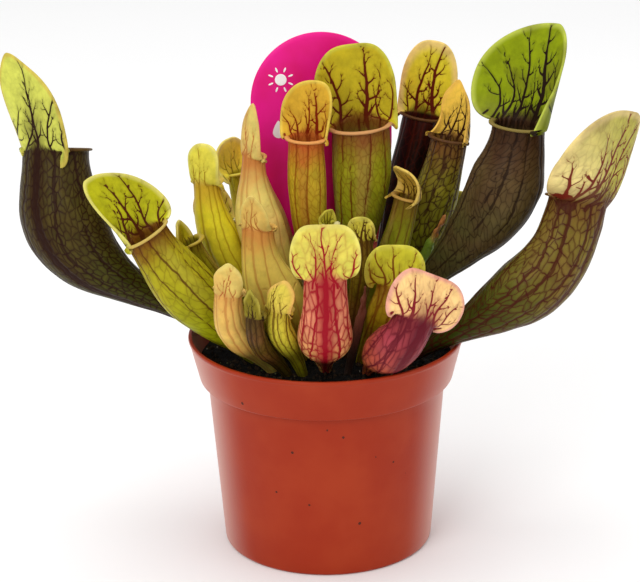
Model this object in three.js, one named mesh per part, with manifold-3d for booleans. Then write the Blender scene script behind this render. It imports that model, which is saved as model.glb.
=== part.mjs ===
// A pitcher plant in a plastic nursery pot, with its peat and a plant label.
// Millimetres, +Z up, the front of the plant towards -Y, the origin under the middle of the pot.
import * as THREE from 'three';
import { mergeVertices } from 'three/addons/utils/BufferGeometryUtils.js';
import Module from 'manifold-3d';

const wasm = await Module();
wasm.setup();

// Pot: a standard nursery pot, 90 mm across its rim
const POT_HEIGHT = 71.5;
const RIM_RADIUS = 45;
const BAND_FOOT_RADIUS = 41.5; // the stepped band under the rim, at its lower edge
const BAND_FOOT_HEIGHT = 57.2;
const BODY_TOP_RADIUS = 38.9;
const BASE_RADIUS = 34.5;
const WALL = 1.3;
const FLOOR = 1.6;
const POT_SIDES = 40;
const DRAIN_COUNT = 6;
const DRAIN_RADIUS = 3.6;
const DRAIN_RING_RADIUS = 22;

// Peat: fills the pot to just under its rim, a little higher in the middle
const SOIL_HEIGHT = 64;
const SOIL_MOUND = 1.2;
const CLEARANCE = 0.3; // between the peat and whatever stands in it or holds it

// Label: a round head on a tapering blade, pushed into the peat and leaning back
const LABEL_HEAD_RADIUS = 23;
const LABEL_HEAD_HEIGHT = 142.5;
const LABEL_THICKNESS = 0.8;
const LABEL_STAKE_HALF_WIDTH = 3.5;
const LABEL_STAKE_TOP = 86;
const LABEL_POINT_HEIGHT = 44;
const LABEL_X = -0.5;
const LABEL_Y = 20; // where it enters the peat
const LABEL_LEAN = THREE.MathUtils.degToRad(3.2);

// Leaves: what every pitcher shares, in millimetres and degrees
const ROOT_DEPTH = 8; // how far a stalk reaches into the peat
const RIM_SPAN = 100; // the hood grows from this much of the rim, either side of the back
const LOBE_END = 0.86; // share of that span where the hood's side lobe ends
const LIP_ROLL = 132; // how far round the lip rolls outwards
const LEAF_DEFAULTS = {
  stalk: 1.7, fullest: 0.72, flat: 0.86, wing: 1.2, wall: 0.8, lip: 1,
  width: [11, 11], wrap: [1.1, 1.1], height: 18, lean: [0, 10], droop: 3, peak: 0,
  widest: 0.42, round: 0.8, lobe: 1.22, flare: 75, spring: 0.42, ruffle: 0.6, waves: 3, phase: 0,
};
const FINE = { hood: 11, front: 5, tube: 8, collar: 4, inside: 4 };
const COARSE = { hood: 7, front: 3, tube: 6, collar: 3, inside: 3 };
const BUD_SIDES = 8;
const BUD_GRID = { tube: 7 };

// Each pitcher rises from base through bend and rise to the middle of its mouth.
// facing is the compass direction of the mouth, from +X towards +Y. belly and neck are half widths.
// width and wrap are the hood's two half widths and how far each side wraps forwards.
const PITCHERS = [
  { name: 'pitcher_far_left', base: [-14, 3], bend: [-68, 3, 96], rise: [-87, 5, 89],
    mouth: [-85, 8, 131.5], facing: 50, belly: 13.9, neck: 12.5, fullest: 0.62, grid: FINE, colour: 0x6b4a30,
    height: 30, width: [16, 16], wrap: [1.5, 1.3], lean: [-8, -22], droop: 7, peak: 4, round: 1.1, widest: 0.35 },
  { name: 'pitcher_left_green', base: [-15, -6], bend: [-30, -10, 74], rise: [-46, -15, 92],
    mouth: [-56, -15, 110], facing: -55, belly: 9.6, neck: 7.2, fullest: 0.66, grid: FINE, colour: 0xa3b83a,
    height: 23, width: [14, 13], wrap: [1, 1.8], lean: [0, 10], droop: 2 },
  { name: 'pitcher_left_small', base: [-19, -1], bend: [-26, 0, 78], rise: [-39, 2, 88],
    mouth: [-43, 1.5, 102], facing: -10, belly: 4.4, neck: 3.9, fullest: 0.7, grid: COARSE, colour: 0x94a23c,
    height: 8, width: [6, 6], droop: 2 },
  { name: 'pitcher_mid_left', base: [-11, 7], bend: [-22, 10, 80], rise: [-37, 12, 94],
    mouth: [-38, 12, 119], facing: -20, belly: 7, neck: 5.4, fullest: 0.7, grid: COARSE, colour: 0xa9ba3e,
    height: 13, width: [8, 8], wrap: [1.2, 1.6], lean: [0, 25] },
  { name: 'pitcher_back_left', base: [-9, 19], bend: [-17, 25, 84], rise: [-25, 31, 98],
    mouth: [-28, 32, 116], facing: -60, belly: 5.4, neck: 4.5, fullest: 0.75, grid: COARSE, colour: 0x9aa545,
    height: 12, width: [8, 8], lean: [15, 30], droop: 2 },
  { name: 'pitcher_tall_peach', base: [-6, 1], bend: [-9, 4, 84], rise: [-25, 7, 100],
    mouth: [-21, 7, 129], facing: 30, belly: 8.2, neck: 5, fullest: 0.62, grid: COARSE, colour: 0xd39a50,
    height: 17, width: [6, 6], wrap: [1.6, 1.6], lean: [-5, -10], droop: 2, peak: 2, round: 1.1 },
  { name: 'pitcher_front_yellow', base: [-4, -6], bend: [-5, -10, 78], rise: [-22, -16, 90],
    mouth: [-21, -15, 112], facing: 60, belly: 8.8, neck: 6.2, fullest: 0.6, grid: FINE, colour: 0xc9ab45,
    height: 12, width: [6.6, 6.6], wrap: [1.4, 1.4], lean: [-5, -10], droop: 2, peak: 2, round: 1 },
  { name: 'pitcher_centre_left', base: [-2, 7], bend: [-3, 9, 88], rise: [-6, 6, 110],
    mouth: [-5.5, 5, 135], facing: -105, belly: 6.2, neck: 5.8, fullest: 0.8, grid: FINE, colour: 0xb58a3c,
    height: 19, width: [8.5, 8.5], wrap: [1.7, 1], lean: [0, 8], droop: 0 },
  { name: 'pitcher_centre_big', base: [4, 8], bend: [8, 10, 90], rise: [14, 13, 110],
    mouth: [12, 12, 137], facing: -86, belly: 9.5, neck: 9.3, fullest: 0.85, grid: FINE, colour: 0x8b9136,
    height: 27, width: [13, 13.5], lean: [0, 8], droop: 2, peak: -0.8 },
  { name: 'pitcher_centre_back', base: [13, 19], bend: [18, 25, 84], rise: [28, 32, 104],
    mouth: [33, 33, 134], facing: -100, belly: 7.2, neck: 6.6, fullest: 0.8, grid: FINE, colour: 0x55301f,
    height: 26, width: [10.5, 10], lean: [0, 8], droop: 1, peak: -0.8 },
  { name: 'pitcher_back_right', base: [11, 9], bend: [20, 14, 82], rise: [36, 19, 98],
    mouth: [41, 20, 130], facing: -130, belly: 8.2, neck: 6.2, fullest: 0.7, grid: FINE, colour: 0x6d5a34,
    height: 17, width: [6, 6.4], wrap: [1.6, 1.6], lean: [-4, -8], droop: 0, peak: 2, round: 1.1 },
  { name: 'pitcher_large_right', base: [15, 3], bend: [33, 1, 103], rise: [59, 0, 99],
    mouth: [62, 1, 139.5], facing: -130, belly: 12.2, neck: 8.8, fullest: 0.82, grid: FINE, colour: 0x4d3d2a,
    height: 33, width: [9, 20], wrap: [2.4, 1], lean: [-8, -22], droop: 1, peak: -0.8 },
  { name: 'pitcher_far_right', base: [15, -7], bend: [60, -20, 95], rise: [75, -18, 85],
    mouth: [80, -10, 117.5], facing: 140, belly: 12.8, neck: 10.5, fullest: 0.57, grid: FINE, colour: 0x745436,
    height: 30, width: [23, 14], wrap: [1.8, 1.2], lean: [-8, -18], droop: 0, peak: 1, widest: 0.38 },
  { name: 'pitcher_small_open', base: [10, -1], bend: [13, -2, 80], rise: [22, 0, 92],
    mouth: [26, 1, 116], facing: -90, belly: 5.2, neck: 4.4, fullest: 0.7, grid: COARSE, colour: 0x7f9b3a,
    height: 10, width: [6, 6], wrap: [1.8, 1.5], lean: [10, 20], droop: 1 },
  { name: 'pitcher_small_mid', base: [5, -5], bend: [8, -8, 80], rise: [13, -12, 92],
    mouth: [12, -12, 107], facing: 80, belly: 3.6, neck: 3.2, fullest: 0.75, grid: COARSE, colour: 0x6f6b38,
    height: 8, width: [4.5, 4.5], lean: [0, 10], droop: 1 },
  { name: 'pitcher_tiny_green', base: [1, 0], bend: [1, -3, 78], rise: [1, -6, 92],
    mouth: [1.5, -7, 110], facing: -60, belly: 2.8, neck: 2.3, fullest: 0.75, grid: COARSE, colour: 0x93ad40,
    height: 5, width: [3, 3], lean: [0, 10], droop: 0.5 },
  { name: 'pitcher_front_centre', base: [0, -12], bend: [-1, -24, 82], rise: [0, -46, 81],
    mouth: [0, -46, 106], facing: 90, belly: 8.5, neck: 6.6, fullest: 0.55, grid: FINE, colour: 0xb8455a,
    height: 19, width: [11.2, 11.2], wrap: [1, 1], lean: [0, 25], droop: 1, peak: -0.8, round: 0.6 },
  { name: 'pitcher_right_yellow', base: [9, -8], bend: [14, -14, 78], rise: [20, -23, 84],
    mouth: [21, -23, 96], facing: 100, belly: 5.5, neck: 5, fullest: 0.7, grid: COARSE, colour: 0xb4b23f,
    height: 14, width: [9.6, 9.6], lean: [5, 25], droop: 1, peak: -0.6, round: 0.7 },
  { name: 'pitcher_red_right', base: [11, -14], bend: [17, -26, 80], rise: [20.5, -46, 77],
    mouth: [27, -43, 91], facing: 115, belly: 8.2, neck: 6.8, fullest: 0.55, grid: FINE, colour: 0x8e3450,
    height: 17, width: [14, 13.5], lean: [5, 30], droop: 1, peak: -0.8, round: 0.6, widest: 0.5 },
  { name: 'pitcher_peach_left', base: [-14, -12], bend: [-22, -20, 78], rise: [-32, -31, 78],
    mouth: [-30, -33, 97], facing: 70, belly: 5.5, neck: 4.6, fullest: 0.6, grid: COARSE, colour: 0xd9a763,
    height: 11, width: [4.9, 4.9], lean: [-4, -4], droop: 1, peak: 1, round: 1 },
  { name: 'pitcher_narrow_dark', base: [-10, -14], bend: [-15, -25, 76], rise: [-22.5, -37, 75],
    mouth: [-22, -38, 91], facing: 60, belly: 3.4, neck: 2.9, fullest: 0.7, grid: COARSE, colour: 0x5a4030,
    height: 8, width: [3.1, 3.1], lean: [0, -5], droop: 0.5, peak: 2, round: 1 },
  { name: 'pitcher_small_hooked', base: [-6, -15], bend: [-9, -26, 80], rise: [-15, -34, 79],
    mouth: [-14.4, -35, 92], facing: 15, belly: 4.5, neck: 3.7, fullest: 0.65, grid: COARSE, colour: 0xb7b04a,
    height: 9, width: [6, 6], wrap: [1.6, 1.4], lean: [0, -10], peak: 1, round: 1 },
  { name: 'pitcher_rear_left', base: [-15, 13], bend: [-22, 24, 80], rise: [-33, 40, 79],
    mouth: [-35, 43, 95], facing: -50, belly: 6.5, neck: 5.4, fullest: 0.62, grid: COARSE, colour: 0x8a5a3a,
    height: 13, width: [8, 8], lean: [-5, 5], droop: 1, round: 0.7 },
  { name: 'pitcher_rear_middle', base: [-4, 24], bend: [-6, 33, 81], rise: [-9, 45, 82],
    mouth: [-11, 47, 100], facing: -75, belly: 6.8, neck: 5.8, fullest: 0.6, grid: COARSE, colour: 0x9aa03c,
    height: 14, width: [9, 9], lean: [-5, 10], droop: 1, round: 0.7 },
  { name: 'pitcher_rear_right', base: [6, 26], bend: [9, 35, 81], rise: [15, 47, 81],
    mouth: [18, 49, 97], facing: -110, belly: 6.4, neck: 5.6, fullest: 0.6, grid: COARSE, colour: 0x7d4438,
    height: 13, width: [8.5, 8.5], lean: [-5, 10], droop: 1, round: 0.7 },
  { name: 'pitcher_rear_outer', base: [20, 10], bend: [28, 20, 80], rise: [39, 34, 79],
    mouth: [41, 37, 95], facing: -135, belly: 6, neck: 5.2, fullest: 0.62, grid: COARSE, colour: 0x8f9a3e,
    height: 12, width: [8, 8], lean: [-5, 5], droop: 1, round: 0.7 },
];

// Young leaves that have no mouth yet, and one that has died back: closed spindles
const BUDS = [
  { name: 'leaf_dried_tip', base: [22, 7], bend: [27, 8, 84], rise: [34, 8, 100],
    tip: [38.5, 8, 117], facing: -60, girth: 1.7, colour: 0x6e8a34 },
  { name: 'leaf_dying_stub', base: [5.5, -18], bend: [8, -20, 74], rise: [12, -21, 84],
    tip: [12.5, -22, 95], facing: 90, girth: 1.5, colour: 0x7a4a2c },
];

const deg = THREE.MathUtils.degToRad;
const mix = THREE.MathUtils.lerp;
const ease = (x) => THREE.MathUtils.smoothstep(x, 0, 1);

// A sum of vectors, each times its factor.
function blend(...terms) {
  const sum = new THREE.Vector3();
  for (const [factor, vector] of terms) sum.addScaledVector(vector, factor);
  return sum;
}

// The leaf's axis as a Bezier curve from inside the peat to its last point.
function axisCurve(leaf, end) {
  const [x, y] = leaf.base;
  return new THREE.CubicBezierCurve3(
    new THREE.Vector3(x, y, SOIL_HEIGHT - ROOT_DEPTH),
    new THREE.Vector3(...leaf.bend),
    new THREE.Vector3(...leaf.rise),
    new THREE.Vector3(...end),
  );
}

// The frame at share u of the axis: along it, towards the front, and to the side.
// The front turns from mostly upward at the stalk to the facing direction at the mouth.
function frameAt(leaf, u) {
  const centre = leaf.axis.getPoint(u);
  const along = leaf.axis.getTangent(u);
  const facing = deg(leaf.facing);
  const level = 0.45 + 0.5 * ease(u);
  const wanted = new THREE.Vector3(level * Math.cos(facing), level * Math.sin(facing), 1 - level);
  const front = wanted.addScaledVector(along, -wanted.dot(along)).normalize();
  const side = new THREE.Vector3().crossVectors(front, along);
  return { centre, along, front, side };
}

// Half the tube's width: a thin stalk swells to the belly and narrows to the neck.
function halfWidth(leaf, u) {
  const start = 0.05;
  if (u < leaf.fullest) {
    const swell = ease((u - start) / (leaf.fullest - start)) ** 1.15;
    return mix(leaf.stalk, leaf.belly, swell);
  }
  return mix(leaf.belly, leaf.neck, ease((u - leaf.fullest) / (1 - leaf.fullest)));
}

// A point of the tube, at angle turn from its back, with a narrow wing raised down its front.
function tubePoint(leaf, u, turn, grow = 0) {
  const { centre, front, side } = frameAt(leaf, u);
  const wide = halfWidth(leaf, u) + grow;
  const deep = halfWidth(leaf, u) * leaf.flat + grow;
  const fromFront = Math.PI - Math.abs(turn > Math.PI ? turn - 2 * Math.PI : turn);
  const wing = leaf.wing * Math.sin(Math.PI * u) ** 0.7 * Math.exp(-((fromFront / 0.24) ** 2));
  return blend([1, centre], [wide * Math.sin(turn), side], [wing - deep * Math.cos(turn), front]);
}

// The lip rolls up and out from the front of the rim, over share k of its roll.
function lipPoint(leaf, rim, outward, along, k) {
  const roll = deg(LIP_ROLL) * k;
  return blend([1, rim], [leaf.lip * Math.sin(roll), along], [leaf.lip * (1 - Math.cos(roll)), outward]);
}

// The hood's edge at share s (-1 to 1) of its span: an egg shape with a lobe hanging at each side,
// bent about the back of the rim by its lean, with each side wrapped forwards.
function hoodEdge(leaf, frame, s) {
  const { centre, along, front, side } = frame;
  const share = Math.abs(s);
  const hand = s < 0 ? 0 : 1;
  const way = Math.min(share / LOBE_END, 1) * Math.PI;
  const widestHeight = leaf.widest * leaf.height;
  const lobeWidth = leaf.neck * leaf.lobe;
  const above = way < Math.PI / 2;
  const across = above
    ? leaf.width[hand] * Math.sin(way) ** leaf.round
    : mix(lobeWidth, leaf.width[hand], Math.abs(Math.sin(way)) ** 0.8);
  const rise = (above ? leaf.height - widestHeight : widestHeight + leaf.droop) * Math.cos(way);
  const high = widestHeight + rise + leaf.peak * Math.exp(-((share / 0.1) ** 2));
  const deep = leaf.neck * leaf.flat;
  const forward = leaf.wrap[hand] * deep * (1 - Math.cos(deg(RIM_SPAN) * share));
  const start = deg(leaf.lean[0]);
  const bend = (deg(leaf.lean[1]) - start) / leaf.height;
  const tilt = start + bend * Math.max(high, 0);
  const curved = Math.abs(bend) > 1e-6 && high > 0;
  const up = curved ? (Math.sin(tilt) - Math.sin(start)) / bend : high * Math.cos(start);
  const over = curved ? (Math.cos(start) - Math.cos(tilt)) / bend : high * Math.sin(start);
  const wave = Math.sin(leaf.waves * Math.PI * s + leaf.phase);
  const ahead = forward + leaf.ruffle * wave * Math.sqrt(Math.sin(Math.PI * share));
  return blend(
    [1, centre],
    [over - deep + ahead * Math.cos(tilt), front],
    [up - ahead * Math.sin(tilt), along],
    [Math.sign(s) * across, side],
  );
}

// A point above the rim, at angle turn from the back: on the hood behind, on the lip in front.
// A hood line leaves the rim along the tube at the back and spreads outwards towards the lobes.
function collarPoint(leaf, turn, k) {
  const frame = frameAt(leaf, 1);
  const { along, front, side } = frame;
  const rim = tubePoint(leaf, 1, turn);
  const outward = blend([Math.sin(turn), side], [-Math.cos(turn), front]);
  const s = turn / deg(RIM_SPAN);
  if (Math.abs(s) > 1 + 1e-9) return lipPoint(leaf, rim, outward, along, k);
  const toLip = ease((Math.abs(s) - LOBE_END) / (1 - LOBE_END));
  const edge = hoodEdge(leaf, frame, s).lerp(lipPoint(leaf, rim, outward, along, 1), toLip);
  const flare = deg(leaf.flare) * ease(Math.abs(s));
  const start = deg(leaf.lean[0]);
  const leave = blend(
    [Math.cos(flare) * Math.cos(start), along],
    [Math.cos(flare) * Math.sin(start), front],
    [Math.sin(flare), outward],
  );
  const reach = edge.distanceTo(rim) * leaf.spring;
  const lipMiddle = blend([1, rim], [1.1 * leaf.lip, along], [0.5 * leaf.lip, outward]);
  const control = blend([1, rim], [reach, leave]).lerp(lipMiddle, toLip);
  return blend([(1 - k) ** 2, rim], [2 * k * (1 - k), control], [k * k, edge]);
}

// The angles of a pitcher's columns: across the hood, then round the front.
function columnTurns(grid) {
  const span = deg(RIM_SPAN);
  const hood = Array.from({ length: grid.hood }, (_, i) => mix(-span, span, i / (grid.hood - 1)));
  const gap = 2 * (Math.PI - span);
  const front = Array.from({ length: grid.front }, (_, i) => span + (gap * (i + 1)) / (grid.front + 1));
  return [...hood, ...front];
}

// Rows of points joined into one closed surface, with a pole past each end.
function closedSurface(rows, firstPole, lastPole) {
  const columns = rows[0].length;
  const points = [...rows.flat(), firstPole, lastPole];
  const first = rows.length * columns;
  const last = first + 1;
  const index = [];
  for (let i = 0; i < rows.length - 1; i++) {
    for (let j = 0; j < columns; j++) {
      const next = (j + 1) % columns;
      const [a, b] = [i * columns + j, i * columns + next];
      const [c, d] = [b + columns, a + columns];
      index.push(a, b, c, a, c, d);
    }
  }
  const top = (rows.length - 1) * columns;
  for (let j = 0; j < columns; j++) {
    const next = (j + 1) % columns;
    index.push(first, next, j, last, top + j, top + next);
  }
  const geometry = new THREE.BufferGeometry().setFromPoints(points);
  geometry.setIndex(index);
  return geometry;
}

// The same rows moved inwards by the wall's thickness, along the surface's own normals.
function insideRows(rows, wall) {
  const last = rows.length - 1;
  return rows.map((row, i) => row.map((point, j) => {
    const count = row.length;
    const upward = blend([1, rows[Math.min(i + 1, last)][j]], [-1, rows[Math.max(i - 1, 0)][j]]);
    const around = blend([1, row[(j + 1) % count]], [-1, row[(j + count - 1) % count]]);
    const normal = around.cross(upward).normalize();
    return blend([1, point], [-wall, normal]);
  }));
}

// A pitcher: the outside of the tube, the hood and lip, and the inside down to the hollow's floor.
function pitcherGeometry(leaf) {
  const { tube, collar, inside } = leaf.grid;
  const turns = columnTurns(leaf.grid);
  const outside = [];
  for (let i = 0; i <= tube; i++) outside.push(turns.map((turn) => tubePoint(leaf, i / tube, turn)));
  for (let k = 1; k <= collar; k++) {
    outside.push(turns.map((turn) => collarPoint(leaf, turn > Math.PI ? turn - 2 * Math.PI : turn, k / collar)));
  }
  const hollow = insideRows(outside, leaf.wall).slice(inside).reverse();
  const foot = frameAt(leaf, 0).centre;
  const floor = frameAt(leaf, inside / tube).centre;
  return closedSurface([...outside, ...hollow], foot, floor);
}

// A young leaf: a spindle with a faint wing, closed at its tip.
function budGeometry(bud) {
  const rows = [];
  for (let i = 0; i < BUD_GRID.tube; i++) {
    const u = i / BUD_GRID.tube;
    const row = [];
    for (let j = 0; j < BUD_SIDES; j++) row.push(tubePoint(bud, u, (2 * Math.PI * j) / BUD_SIDES));
    rows.push(row);
  }
  return closedSurface(rows, frameAt(bud, 0).centre, frameAt(bud, 1).centre);
}

// A closed geometry as a solid that can be cut, and back.
function toSolid(geometry) {
  const bare = geometry.clone();
  bare.deleteAttribute('normal');
  bare.deleteAttribute('uv');
  const merged = mergeVertices(bare, 1e-4);
  return new wasm.Manifold(new wasm.Mesh({
    numProp: 3,
    vertProperties: new Float32Array(merged.attributes.position.array),
    triVerts: new Uint32Array(merged.index.array),
  }));
}

function toGeometry(solid) {
  const mesh = solid.getMesh();
  const geometry = new THREE.BufferGeometry();
  geometry.setAttribute('position', new THREE.BufferAttribute(mesh.vertProperties, 3));
  geometry.setIndex(new THREE.BufferAttribute(mesh.triVerts, 1));
  return geometry;
}

// A profile of [radius, height] pairs turned about the vertical axis.
function turned(profile, sides) {
  const points = profile.map(([radius, height]) => new THREE.Vector2(radius, height));
  return new THREE.LatheGeometry(points, sides).rotateX(Math.PI / 2);
}

// The pot's inner radius at a height on its body.
function bodyInnerRadius(height) {
  return mix(BASE_RADIUS, BODY_TOP_RADIUS, height / BAND_FOOT_HEIGHT) - WALL;
}

function potGeometry() {
  const rimTop = RIM_RADIUS - 0.5;
  const outside = [
    [0, 0],
    [BASE_RADIUS - 1.2, 0],
    [BASE_RADIUS, 1.2],
    [BODY_TOP_RADIUS, BAND_FOOT_HEIGHT - 0.8],
    [BAND_FOOT_RADIUS - 0.5, BAND_FOOT_HEIGHT - 0.3],
    [BAND_FOOT_RADIUS, BAND_FOOT_HEIGHT + 0.4],
    [RIM_RADIUS, POT_HEIGHT - 0.6],
    [rimTop, POT_HEIGHT],
  ];
  const insideWall = [
    [rimTop - WALL + 0.3, POT_HEIGHT],
    [RIM_RADIUS - WALL - 0.2, POT_HEIGHT - 0.7],
    [BAND_FOOT_RADIUS - WALL, BAND_FOOT_HEIGHT + 0.6],
    [bodyInnerRadius(BAND_FOOT_HEIGHT - 2), BAND_FOOT_HEIGHT - 2],
    [bodyInnerRadius(FLOOR), FLOOR],
    [0, FLOOR],
  ];
  let solid = toSolid(turned([...outside, ...insideWall], POT_SIDES));
  for (let i = 0; i < DRAIN_COUNT; i++) {
    const angle = (2 * Math.PI * i) / DRAIN_COUNT;
    const drill = new THREE.CylinderGeometry(DRAIN_RADIUS, DRAIN_RADIUS, 4 * FLOOR, 10).rotateX(Math.PI / 2);
    drill.translate(DRAIN_RING_RADIUS * Math.cos(angle), DRAIN_RING_RADIUS * Math.sin(angle), FLOOR / 2);
    solid = solid.subtract(toSolid(drill));
  }
  return toGeometry(solid);
}

// The peat: a plug that fills the pot, with a hole for each stalk and a slot for the label.
function soilGeometry(leaves) {
  const upTheBand = (SOIL_HEIGHT - BAND_FOOT_HEIGHT) / (POT_HEIGHT - BAND_FOOT_HEIGHT);
  const bandRadius = mix(BAND_FOOT_RADIUS, RIM_RADIUS, upTheBand);
  const profile = [
    [0, FLOOR + CLEARANCE],
    [bodyInnerRadius(FLOOR) - CLEARANCE, FLOOR + CLEARANCE],
    [bodyInnerRadius(BAND_FOOT_HEIGHT - 2) - CLEARANCE, BAND_FOOT_HEIGHT - 2],
    [BAND_FOOT_RADIUS - WALL - CLEARANCE - 0.1, BAND_FOOT_HEIGHT + 0.9],
    [bandRadius - WALL - CLEARANCE - 0.2, SOIL_HEIGHT - SOIL_MOUND],
    [30, SOIL_HEIGHT - SOIL_MOUND / 3],
    [14, SOIL_HEIGHT + SOIL_MOUND],
    [0, SOIL_HEIGHT + SOIL_MOUND],
  ];
  let solid = toSolid(turned(profile, POT_SIDES));
  for (const leaf of leaves) solid = solid.subtract(toSolid(stalkHole(leaf)));
  return toGeometry(solid.subtract(toSolid(labelSlot())));
}

// The stalk's own shape up to where it has left the peat, grown by the clearance and sunk deeper.
function stalkHole(leaf) {
  const sides = 8;
  const grow = CLEARANCE + 0.15;
  const rows = [];
  let u = 0;
  let clearOfPeat = false;
  for (let i = 0; !clearOfPeat; i++) {
    u = i / leaf.grid.tube;
    const row = [];
    for (let j = 0; j < sides; j++) row.push(tubePoint(leaf, u, (2 * Math.PI * j) / sides, grow));
    rows.push(row);
    clearOfPeat = Math.min(...row.map((point) => point.z)) > SOIL_HEIGHT + SOIL_MOUND;
  }
  for (const point of rows[0]) point.z -= CLEARANCE;
  const foot = frameAt(leaf, 0).centre;
  foot.z -= CLEARANCE;
  return closedSurface(rows, foot, frameAt(leaf, u).centre);
}

// The label's outline, with its own origin where it enters the peat.
function labelShape() {
  const head = LABEL_HEAD_HEIGHT - SOIL_HEIGHT;
  const stake = LABEL_STAKE_TOP - SOIL_HEIGHT;
  const point = LABEL_POINT_HEIGHT - SOIL_HEIGHT;
  const shape = new THREE.Shape();
  shape.moveTo(0, point);
  shape.lineTo(LABEL_STAKE_HALF_WIDTH, point + 8);
  shape.lineTo(LABEL_STAKE_HALF_WIDTH, stake);
  shape.quadraticCurveTo(LABEL_HEAD_RADIUS, head - 34, LABEL_HEAD_RADIUS, head - 12);
  shape.lineTo(LABEL_HEAD_RADIUS, head);
  shape.absarc(0, head, LABEL_HEAD_RADIUS, 0, Math.PI, false);
  shape.lineTo(-LABEL_HEAD_RADIUS, head - 12);
  shape.quadraticCurveTo(-LABEL_HEAD_RADIUS, head - 34, -LABEL_STAKE_HALF_WIDTH, stake);
  shape.lineTo(-LABEL_STAKE_HALF_WIDTH, point + 8);
  shape.closePath();
  return shape;
}

function placeLabel(geometry) {
  return geometry.rotateX(Math.PI / 2 - LABEL_LEAN).translate(LABEL_X, LABEL_Y, SOIL_HEIGHT);
}

function labelGeometry() {
  const options = { depth: LABEL_THICKNESS, bevelEnabled: false, curveSegments: 12 };
  const plate = new THREE.ExtrudeGeometry(labelShape(), options);
  plate.deleteAttribute('normal');
  plate.deleteAttribute('uv');
  return placeLabel(mergeVertices(plate.translate(0, 0, -LABEL_THICKNESS / 2), 1e-4));
}

function labelSlot() {
  const below = LABEL_POINT_HEIGHT - SOIL_HEIGHT - 1;
  const above = 12;
  const width = 2 * (LABEL_STAKE_HALF_WIDTH + CLEARANCE);
  const slot = new THREE.BoxGeometry(width, above - below, LABEL_THICKNESS + 2 * CLEARANCE);
  return placeLabel(slot.translate(0, (above + below) / 2, 0));
}

const plastic = (colour) => new THREE.MeshStandardMaterial({ color: colour, roughness: 0.45, metalness: 0 });
const living = (colour) => new THREE.MeshStandardMaterial({ color: colour, roughness: 0.4, metalness: 0 });
const peat = new THREE.MeshStandardMaterial({ color: 0x1d1712, roughness: 0.95, metalness: 0 });

function addMesh(group, name, geometry, material) {
  const mesh = new THREE.Mesh(geometry, material);
  mesh.name = name;
  group.add(mesh);
}

const plant = new THREE.Group();
const pitchers = PITCHERS.map((entry) => {
  const leaf = { ...LEAF_DEFAULTS, ...entry };
  return { ...leaf, axis: axisCurve(leaf, leaf.mouth) };
});
const buds = BUDS.map((entry) => {
  const shape = { stalk: 1.2, belly: entry.girth, neck: 0.5, wing: 0, fullest: 0.6, grid: BUD_GRID };
  const bud = { ...LEAF_DEFAULTS, ...entry, ...shape };
  return { ...bud, axis: axisCurve(bud, bud.tip) };
});

addMesh(plant, 'pot', potGeometry(), plastic(0xb84a30));
addMesh(plant, 'soil', soilGeometry([...pitchers, ...buds]), peat);
addMesh(plant, 'label', labelGeometry(), plastic(0xe81e8c));
for (const leaf of pitchers) addMesh(plant, leaf.name, pitcherGeometry(leaf), living(leaf.colour));
for (const bud of buds) addMesh(plant, bud.name, budGeometry(bud), living(bud.colour));

export default plant;
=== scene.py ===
"""A potted pitcher plant: veined pitcher leaves, a nursery pot, peat and a plant label.

Sizes are millimetres and degrees in the plant's own frame (+Z up, front towards -Y) and are turned
into metres where a mesh is made. Every leaf is one closed surface over a grid of rows and columns.
"""

import logging
import math
from dataclasses import dataclass, field, fields
from enum import Enum

import bpy
import numpy as np
from mathutils import Matrix, Vector


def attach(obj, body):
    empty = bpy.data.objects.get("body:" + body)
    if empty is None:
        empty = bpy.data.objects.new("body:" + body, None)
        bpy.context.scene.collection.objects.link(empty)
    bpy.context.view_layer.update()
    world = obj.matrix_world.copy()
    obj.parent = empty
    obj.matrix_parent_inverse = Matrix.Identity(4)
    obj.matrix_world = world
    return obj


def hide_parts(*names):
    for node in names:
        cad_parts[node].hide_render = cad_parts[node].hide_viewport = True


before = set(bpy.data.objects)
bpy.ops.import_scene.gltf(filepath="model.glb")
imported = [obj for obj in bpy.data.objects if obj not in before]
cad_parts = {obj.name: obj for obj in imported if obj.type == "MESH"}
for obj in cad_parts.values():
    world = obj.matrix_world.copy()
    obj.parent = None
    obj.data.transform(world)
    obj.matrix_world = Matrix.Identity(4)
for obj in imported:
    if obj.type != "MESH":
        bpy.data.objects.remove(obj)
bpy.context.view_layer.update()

log = logging.getLogger("pitcher_plant")
MM = 0.001
SOIL = 64.0  # height of the peat's top
MAP_UNIT = 100.0  # millimetres in one unit of a pressed map
Array = np.ndarray
Triple = tuple[float, float, float]
Pair = tuple[float, float]
Socket = bpy.types.NodeSocket
Value = Socket | float | tuple[float, ...]


def ease(x: Array | float) -> Array:
    """Smooth step: 3x^2 - 2x^3 with x held between 0 and 1."""
    x = np.clip(x, 0.0, 1.0)
    return x * x * (3 - 2 * x)


def mix(a: Array | float, b: Array | float, share: Array | float) -> Array:
    """Straight blend from a to b by share."""
    return a + (b - a) * share


def linear(hex_colour: str) -> tuple[float, float, float, float]:
    """A screen colour such as 8FA046 as linear red, green, blue and alpha.

    Each channel c becomes c/12.92 below 0.04, else ((c + 0.055)/1.055)^2.4.
    """
    channels = [int(hex_colour[i : i + 2], 16) / 255 for i in (0, 2, 4)]
    red, green, blue = (c / 12.92 if c < 0.04 else ((c + 0.055) / 1.055) ** 2.4 for c in channels)
    return (red, green, blue, 1.0)


class Detail(Enum):
    """How finely a leaf is divided: hood columns, front columns, tube rows and hood rows."""

    LARGE = (109, 21, 60, 64)
    WIDE = (165, 21, 60, 64)
    SMALL = (61, 17, 36, 32)


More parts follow.
